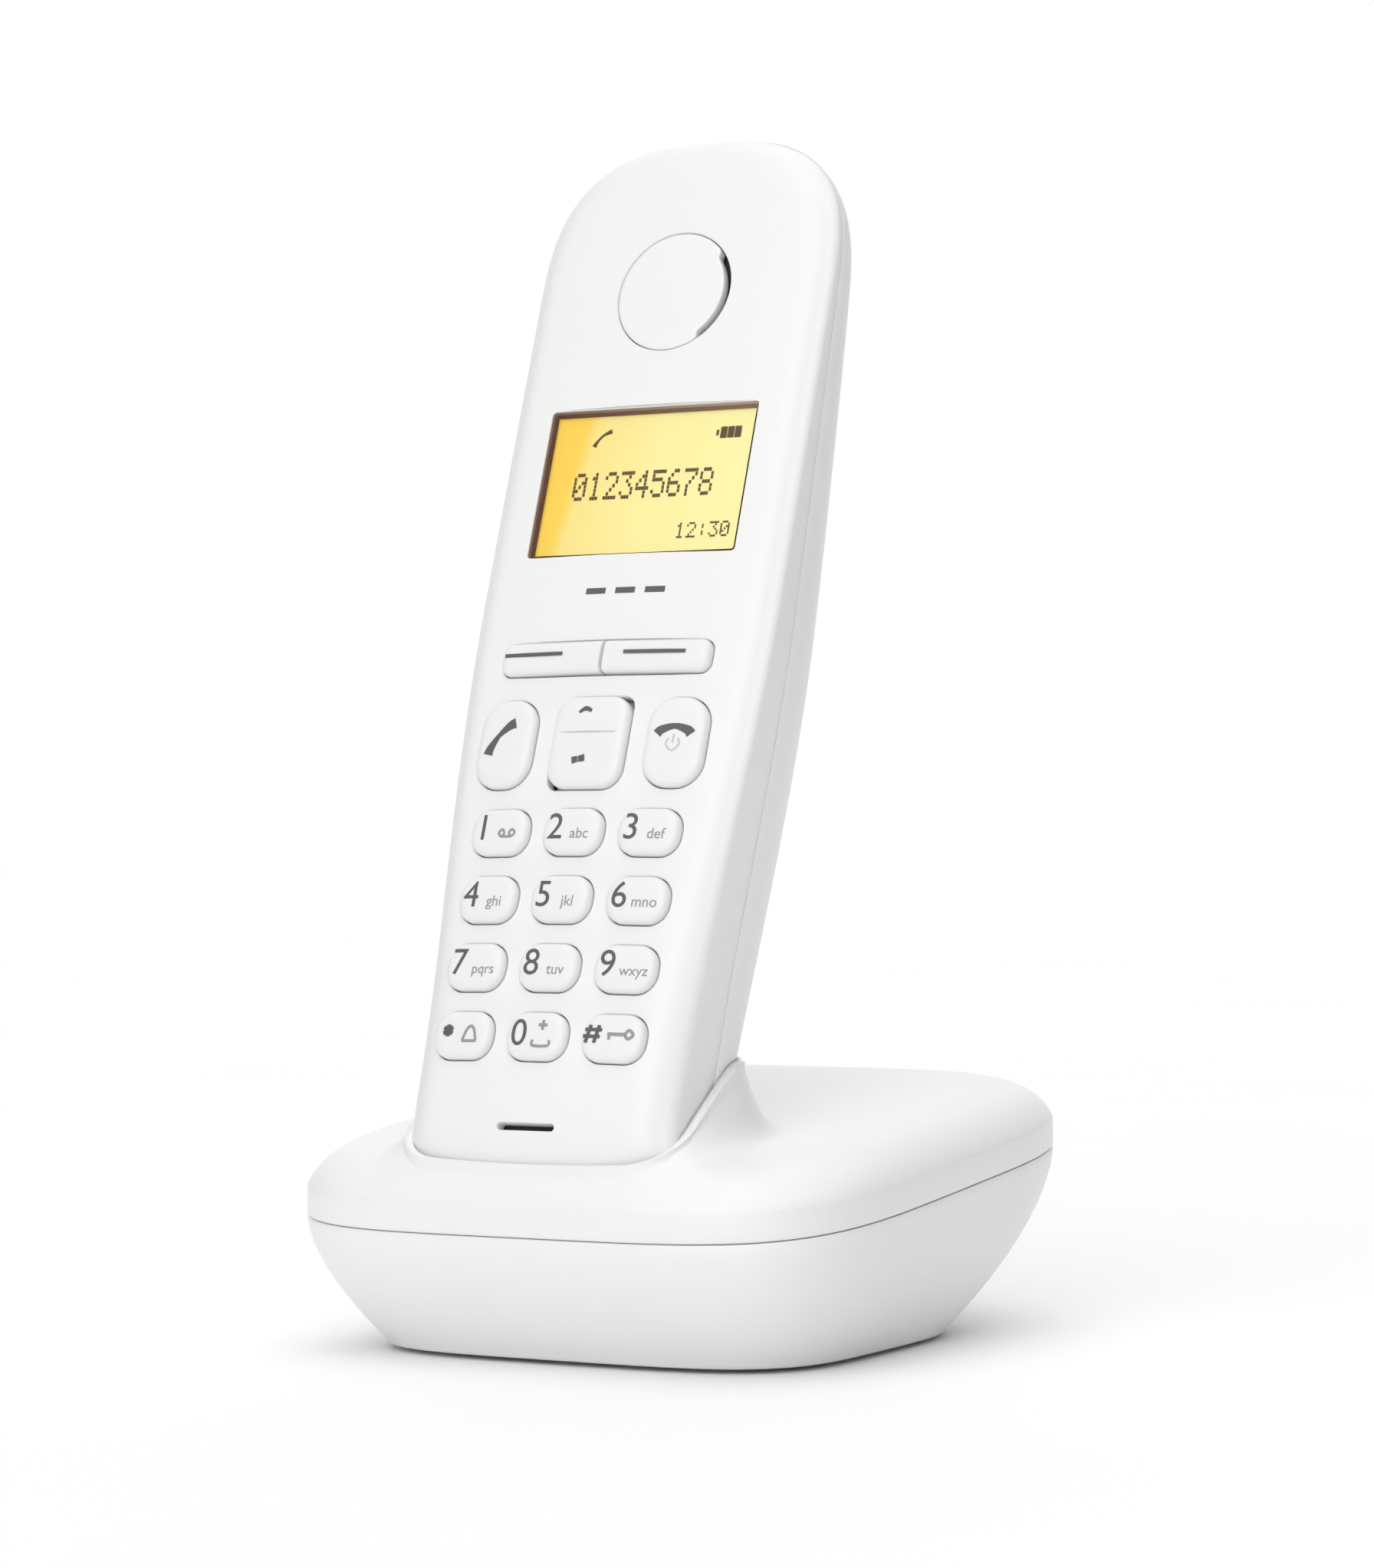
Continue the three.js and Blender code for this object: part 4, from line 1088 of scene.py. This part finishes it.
# Paths on each key from its middle, with one width, or one for each point
MARKS = {
    ("key_star", "ink"): (
        ([(-2.2, -0.4), (-2.2, 1.3)], 0.65),
        ([(-2.95, 0.0), (-1.45, 0.9)], 0.65),
        ([(-2.95, 0.9), (-1.45, 0.0)], 0.65),
    ),
    ("key_star", "pale_ink"): (
        ([(0.4, -0.9), (0.9, 0.6), (1.5, 1.1), (2.1, 0.6), (2.6, -0.9)], 0.4),
        ([(0.3, -1.0), (2.7, -1.0)], 0.4),
    ),
    ("key_0", "pale_ink"): (
        ([(1.2, 0.7), (1.2, 2.1)], 0.45),
        ([(0.5, 1.4), (1.9, 1.4)], 0.45),
        ([(-0.1, -0.7), (0.0, -1.5), (2.4, -1.5), (2.5, -0.7)], 0.4),
    ),
    ("key_hash", "ink"): (
        ([(-3.8, -0.9), (-3.3, 1.6)], 0.55),
        ([(-2.5, -0.9), (-2.0, 1.6)], 0.55),
        ([(-4.3, 0.0), (-1.7, 0.0)], 0.5),
        ([(-4.1, 0.95), (-1.5, 0.95)], 0.5),
    ),
    ("key_hash", "pale_ink"): (
        ([(-0.6, 0.4), (2.0, 0.4)], 0.5),
        ([(2.0, 0.4), (2.6, 1.0), (3.3, 0.4), (2.6, -0.2), (2.0, 0.4)], 0.45),
        ([(-0.3, 0.4), (-0.3, -0.4)], 0.4),
    ),
    ("key_1", "pale_ink"): (
        ([(0.2, -0.3), (0.7, 0.2), (1.2, -0.3), (0.7, -0.8), (0.2, -0.3)], 0.35),
        ([(1.9, -0.3), (2.4, 0.2), (2.9, -0.3), (2.4, -0.8), (1.9, -0.3)], 0.35),
        ([(0.7, -0.85), (2.4, -0.85)], 0.35),
    ),
    ("call_key", "ink"): (
        ([(-2.4, -1.7), (-2.1, -0.7), (-1.0, 1.1), (0.6, 2.5), (1.5, 2.9)], [1.6, 1.3, 0.7, 1.3, 1.6]),
    ),
    ("end_key", "ink"): (
        ([(-2.6, 0.9), (-2.0, 1.5), (0.0, 2.05), (2.0, 1.5), (2.6, 0.9)], [1.5, 1.3, 0.8, 1.3, 1.5]),
    ),
    ("end_key", "faint_ink"): (
        ([(-0.7, 0.3), (-1.0, -0.6), (0.0, -1.5), (1.0, -0.6), (0.7, 0.3)], 0.3),
        ([(0.0, 0.9), (0.0, -0.4)], 0.3),
    ),
    ("rocker_key", "ink"): (
        ([(-1.9, 4.2), (-0.9, 4.75), (0.1, 4.4)], [0.35, 0.7, 0.45]),
        ([(-1.8, -2.9), (-0.9, -2.7)], [1.05, 0.9]),
        ([(-0.8, -2.7), (0.2, -2.5)], [0.85, 1.05]),
    ),
    ("rocker_key", "faint_ink"): (
        ([(-4.4, 1.3), (4.4, 1.3)], 0.16),
    ),
    ("soft_key_left", "ink"): (
        ([(-7.7, 0.4), (2.0, 0.4)], 0.55),
    ),
    ("soft_key_right", "ink"): (
        ([(-5.0, 0.4), (4.8, 0.4)], 0.55),
    ),
}


def build_marks():
    """The small drawn marks on the other keys, and three plain dashes under the display."""
    rows = {name: (u, v) for name, _, u, v in key_table()}
    for (name, tint), paths in MARKS.items():
        u, v = rows[name]
        bm = bmesh.new()
        for path, widths in paths:
            stroke(bm, [(u + x, v + y) for x, y in path], widths, KEY_TOP - 0.015)
        make(bm, f"{name}_{tint}_mark", name, finish_named(tint), PLACE_HANDSET)
    bm = bmesh.new()
    for k in range(3):
        at = -5.6 + 4.8 * k
        stroke(bm, [(at, 64.9), (at + 3.2, 64.9)], 0.9, -0.02)
    make(bm, "face_mark", "handset", finish_named("ink"), PLACE_HANDSET)


# ---- battery ------------------------------------------------------------------------------------


def build_battery():
    for side, word in ((-1, "left"), (1, "right")):
        flip = Matrix.Rotation(0 if side < 0 else math.pi, 4, "X")
        end = 11.5 if side < 0 else 61.6
        place = PLACE_HANDSET @ Matrix.Translation((side * 5.6, 15.6, end)) @ flip
        parts = (
            (f"battery_cell_{word}", f"battery_sleeve_{word}", "sleeve", "cell_sleeve",
             ((0, 0.35), (4.2, 0.35), (4.9, 0.2), (5.1, 0.3), (5.2, 0.7), (5.2, 42.9), (5.0, 43.3),
              (4.3, 43.35), (0, 43.3))),
            (None, f"battery_tip_{word}", "steel", "steel",
             ((0, 0.0), (3.8, 0.02), (4.0, 0.3), (0, 0.3))),
            (None, f"battery_button_{word}", "steel", "steel",
             ((0, 43.3), (3.4, 43.36), (3.3, 43.7), (1.9, 43.8), (1.8, 44.35), (1.5, 44.5), (0, 44.5))))
        for node, name, tint, slot, profile in parts:
            bm = bmesh.new()
            turned(bm, profile)
            make(bm, name, "handset", finish_named(tint), place @ Matrix.Translation((0, 0, 4.4)),
                 (node,) if node else ())
        bm = bmesh.new()
        ring = bmesh.ops.create_circle(bm, segments=8, radius=0.26, matrix=Matrix.Translation((2.6, 0, 0.65))
                                       @ Matrix.Rotation(math.pi / 2, 4, "X"))["verts"]
        geometry = ring + edges_round(bm, ring)
        bmesh.ops.spin(bm, geom=geometry, cent=(0, 0, 0), axis=(0, 0, 1), dvec=(0, 0, 2.8 / 90),
                       angle=2 * math.pi * 2.5, steps=90, use_merge=False, use_duplicate=False)
        for vert in bm.verts:
            share = 1 - 0.42 * (vert.co.z - 0.4) / 3.2
            vert.co.x *= share
            vert.co.y *= share
        bmesh.ops.holes_fill(bm, edges=[e for e in bm.edges if e.is_boundary], sides=8)
        make(bm, f"battery_coil_{word}", "handset", finish_named("steel"), place,
             (f"battery_spring_{word}",))


# ---- studio -------------------------------------------------------------------------------------

CAMERA_AT = (0.31549, -0.54393, 0.07867)
AZIMUTH, ELEVATION, ROLL = (math.radians(a) for a in (30.064, -0.037, -0.564))
LENS = 100.73
SENSOR = 36
RIGHT_SIDE, LEFT_SIDE, FRONT_SIDE = (0.97, 0.24, 0), (-0.94, -0.34, 0), (0.36, -0.86, 0.36)
LAMP_TRAVEL, LAMP_SPREAD = (-0.24, -0.2, -0.95), math.radians(70)
FLOOR_HALF = 6


def build_stage():
    scene = bpy.context.scene
    look = scene.phone_look
    data = bpy.data.cameras.new("camera")
    data.lens, data.sensor_width = LENS, SENSOR
    camera = bpy.data.objects.new("camera", data)
    scene.collection.objects.link(camera)
    back = Vector((math.sin(AZIMUTH) * math.cos(ELEVATION), -math.cos(AZIMUTH) * math.cos(ELEVATION),
                   math.sin(ELEVATION)))
    level = Vector((math.cos(AZIMUTH), math.sin(AZIMUTH), 0))
    upright = back.cross(level)
    right = math.cos(ROLL) * level + math.sin(ROLL) * upright
    up = math.cos(ROLL) * upright - math.sin(ROLL) * level
    camera.matrix_world = Matrix.Translation(CAMERA_AT) @ Matrix((right, up, back)).transposed().to_4x4()
    scene.camera = camera

    bm = bmesh.new()
    bmesh.ops.create_grid(bm, x_segments=2, y_segments=2, size=FLOOR_HALF)
    mesh = bpy.data.meshes.new("floor")
    bm.to_mesh(mesh)
    bm.free()
    floor = bpy.data.objects.new("floor", mesh)
    scene.collection.objects.link(floor)
    finish = Finish("floor_paper", Roughness=0.9, Specular_IOR_Level=0.1)
    cloud = finish.noise(9)
    mesh.materials.append(finish.feed(
        Base_Color=finish.mix(cloud, (0.93, 0.93, 0.93), (0.96, 0.96, 0.96))).material)

    build_room(look)


def build_room(look):
    """A white room, dimmer at both sides and brighter in front, and one broad soft lamp overhead."""
    scene = bpy.context.scene
    world = bpy.data.worlds.new("studio")
    world.use_nodes = True
    nodes = Nodes(world.node_tree)
    around = nodes.add("ShaderNodeTexCoord", {}, {})["Generated"]
    strength = look.room_light
    for side, level, start in ((RIGHT_SIDE, look.right_light, -0.12), (LEFT_SIDE, look.left_light, 0.3),
                               (FRONT_SIDE, look.front_light, 0.33)):
        towards = nodes.add("ShaderNodeVectorMath", {"operation": "DOT_PRODUCT"}, {
            0: around, 1: side})["Value"]
        share = nodes.add("ShaderNodeMapRange", {"interpolation_type": "SMOOTHSTEP"}, {
            "Value": towards, "From Min": start, "From Max": 0.97, "To Min": 1.0, "To Max": level})["Result"]
        strength = share * strength
    background = world.node_tree.nodes["Background"]
    world.node_tree.links.new(strength.socket, background.inputs["Strength"])
    background.inputs["Color"].default_value = (1, 1, 1, 1)
    scene.world = world
    scene.view_settings.view_transform = "Standard"
    data = bpy.data.lights.new("lamp", "SUN")
    data.energy, data.angle = look.lamp_light, LAMP_SPREAD
    lamp = bpy.data.objects.new("lamp", data)
    scene.collection.objects.link(lamp)
    lamp.rotation_euler = Vector(LAMP_TRAVEL).to_track_quat("-Z", "Y").to_euler()


# ---- panel and operators ------------------------------------------------------------------------


def colour(name, description, default):
    return bpy.props.FloatVectorProperty(
        name=name, description=description, default=default, size=3, min=0, max=1, subtype="COLOR")


def distance(name, description, default):
    return bpy.props.FloatProperty(
        name=name, description=description, default=default, min=0, precision=5, unit="LENGTH")


def amount(name, description, default, most=1.0):
    return bpy.props.FloatProperty(
        name=name, description=description, default=default, min=0, max=most,
        subtype="FACTOR" if most == 1 else "NONE")


class PhoneSizes(bpy.types.PropertyGroup):
    shell_wall: distance("Handset wall", "Thickness of the handset's two shells", 0.0018)
    base_top_wall: distance("Base top wall", "Thickness of the base's upper shell", 0.0012)
    base_bottom_wall: distance("Base bottom wall", "Thickness of the base's lower shell", 0.0018)
    rim_spread: distance("Rim spread", "How far the pocket's raised rim reaches out over the base", 0.006)
    key_gap: distance("Key gap", "Gap between a key and its opening", 0.00013)
    digit_size: distance("Digits", "Type size of the digits on the keys", 0.0053)
    letter_size: distance("Letters", "Type size of the small letters on the keys", 0.0022)


class PhoneLook(bpy.types.PropertyGroup):
    shell: colour("Shell", "Colour of the white shells", (0.83, 0.83, 0.825))
    key: colour("Keys", "Colour of the key caps", (0.81, 0.81, 0.805))
    ink: colour("Ink", "Colour of the digits and marks", (0.10, 0.10, 0.105))
    pale_ink: colour("Pale ink", "Colour of the small letters", (0.30, 0.30, 0.31))
    dot: colour("Dots", "Colour of the display's dots", (0.22, 0.14, 0.05))
    display_deep: colour("Display, deep", "Colour of the display's left side", (1.0, 0.66, 0.085))
    display_pale: colour("Display, pale", "Colour of the display's right side", (1.0, 0.94, 0.42))
    shell_gloss: amount("Shell roughness", "Roughness of the shells", 0.3)
    room_light: amount("Room light", "Strength of the white room", 1.04, 3)
    right_light: amount("Right side", "Share of the room's light from the right", 0.05)
    left_light: amount("Left side", "Share of the room's light from the left", 0.15)
    front_light: amount("Front", "How much brighter the room is in front", 1.95, 4)
    lamp_light: amount("Lamp", "Strength of the soft lamp", 0.7, 20)


class PHONE_OT_stage(bpy.types.Operator):
    """Makes the camera, floor and lights"""
    bl_idname = "phone.stage"
    bl_label = "Stage"

    def execute(self, context):
        build_stage()
        return {"FINISHED"}


class PHONE_OT_base_top(bpy.types.Operator):
    """Builds the upper shell of the base with its pocket"""
    bl_idname = "phone.base_top"
    bl_label = "Base top"

    def execute(self, context):
        build_base_top()
        return {"FINISHED"}


class PHONE_OT_base_bottom(bpy.types.Operator):
    """Builds the lower shell of the base"""
    bl_idname = "phone.base_bottom"
    bl_label = "Base bottom"

    def execute(self, context):
        build_base_bottom()
        return {"FINISHED"}


class PHONE_OT_base_fittings(bpy.types.Operator):
    """Finishes feet, screws, sockets and contacts"""
    bl_idname = "phone.base_fittings"
    bl_label = "Base fittings"

    def execute(self, context):
        build_base_fittings()
        return {"FINISHED"}


class PHONE_OT_front(bpy.types.Operator):
    """Builds the handset's front shell"""
    bl_idname = "phone.front"
    bl_label = "Handset front"

    def execute(self, context):
        build_front()
        return {"FINISHED"}


class PHONE_OT_back(bpy.types.Operator):
    """Builds the back shell, battery bay and cover"""
    bl_idname = "phone.back"
    bl_label = "Handset back"

    def execute(self, context):
        build_back()
        return {"FINISHED"}


class PHONE_OT_keys(bpy.types.Operator):
    """Builds every key cap"""
    bl_idname = "phone.keys"
    bl_label = "Keys"

    def execute(self, context):
        build_keys()
        return {"FINISHED"}


class PHONE_OT_face_fittings(bpy.types.Operator):
    """Builds what sits behind the face"""
    bl_idname = "phone.face_fittings"
    bl_label = "Earpiece and microphone"

    def execute(self, context):
        build_face_fittings()
        return {"FINISHED"}


class PHONE_OT_display(bpy.types.Operator):
    """Builds the window, lit panel and its dots"""
    bl_idname = "phone.display"
    bl_label = "Display"

    def execute(self, context):
        build_display()
        return {"FINISHED"}


class PHONE_OT_prints(bpy.types.Operator):
    """Puts the digits and marks on the keys"""
    bl_idname = "phone.prints"
    bl_label = "Prints"

    def execute(self, context):
        build_prints()
        return {"FINISHED"}


class PHONE_OT_battery(bpy.types.Operator):
    """Builds the cells and their springs"""
    bl_idname = "phone.battery"
    bl_label = "Battery"

    def execute(self, context):
        build_battery()
        return {"FINISHED"}


OPERATORS = (
    PHONE_OT_stage, PHONE_OT_base_top, PHONE_OT_base_bottom, PHONE_OT_base_fittings,
    PHONE_OT_front, PHONE_OT_back, PHONE_OT_keys, PHONE_OT_face_fittings,
    PHONE_OT_display, PHONE_OT_prints, PHONE_OT_battery)


class PHONE_PT_panel(bpy.types.Panel):
    """Lists the phone's sizes, colours and builders"""
    bl_label = "Cordless phone"
    bl_idname = "PHONE_PT_panel"
    bl_space_type = "VIEW_3D"
    bl_region_type = "UI"
    bl_category = "Phone"

    def draw(self, context):
        for group in (context.scene.phone_sizes, context.scene.phone_look):
            for name in type(group).__annotations__:
                self.layout.prop(group, name)
        for made in OPERATORS:
            self.layout.operator(made.bl_idname)


CLASSES = (PhoneSizes, PhoneLook, *OPERATORS, PHONE_PT_panel)


def register():
    for made in CLASSES:
        bpy.utils.register_class(made)
    bpy.types.Scene.phone_sizes = bpy.props.PointerProperty(type=PhoneSizes)
    bpy.types.Scene.phone_look = bpy.props.PointerProperty(type=PhoneLook)


def unregister():
    del bpy.types.Scene.phone_look
    del bpy.types.Scene.phone_sizes
    for made in reversed(CLASSES):
        bpy.utils.unregister_class(made)


def main():
    register()
    for made in OPERATORS:
        getattr(bpy.ops.phone, made.bl_idname.split(".")[1])()


if __name__ == "__main__":
    main()
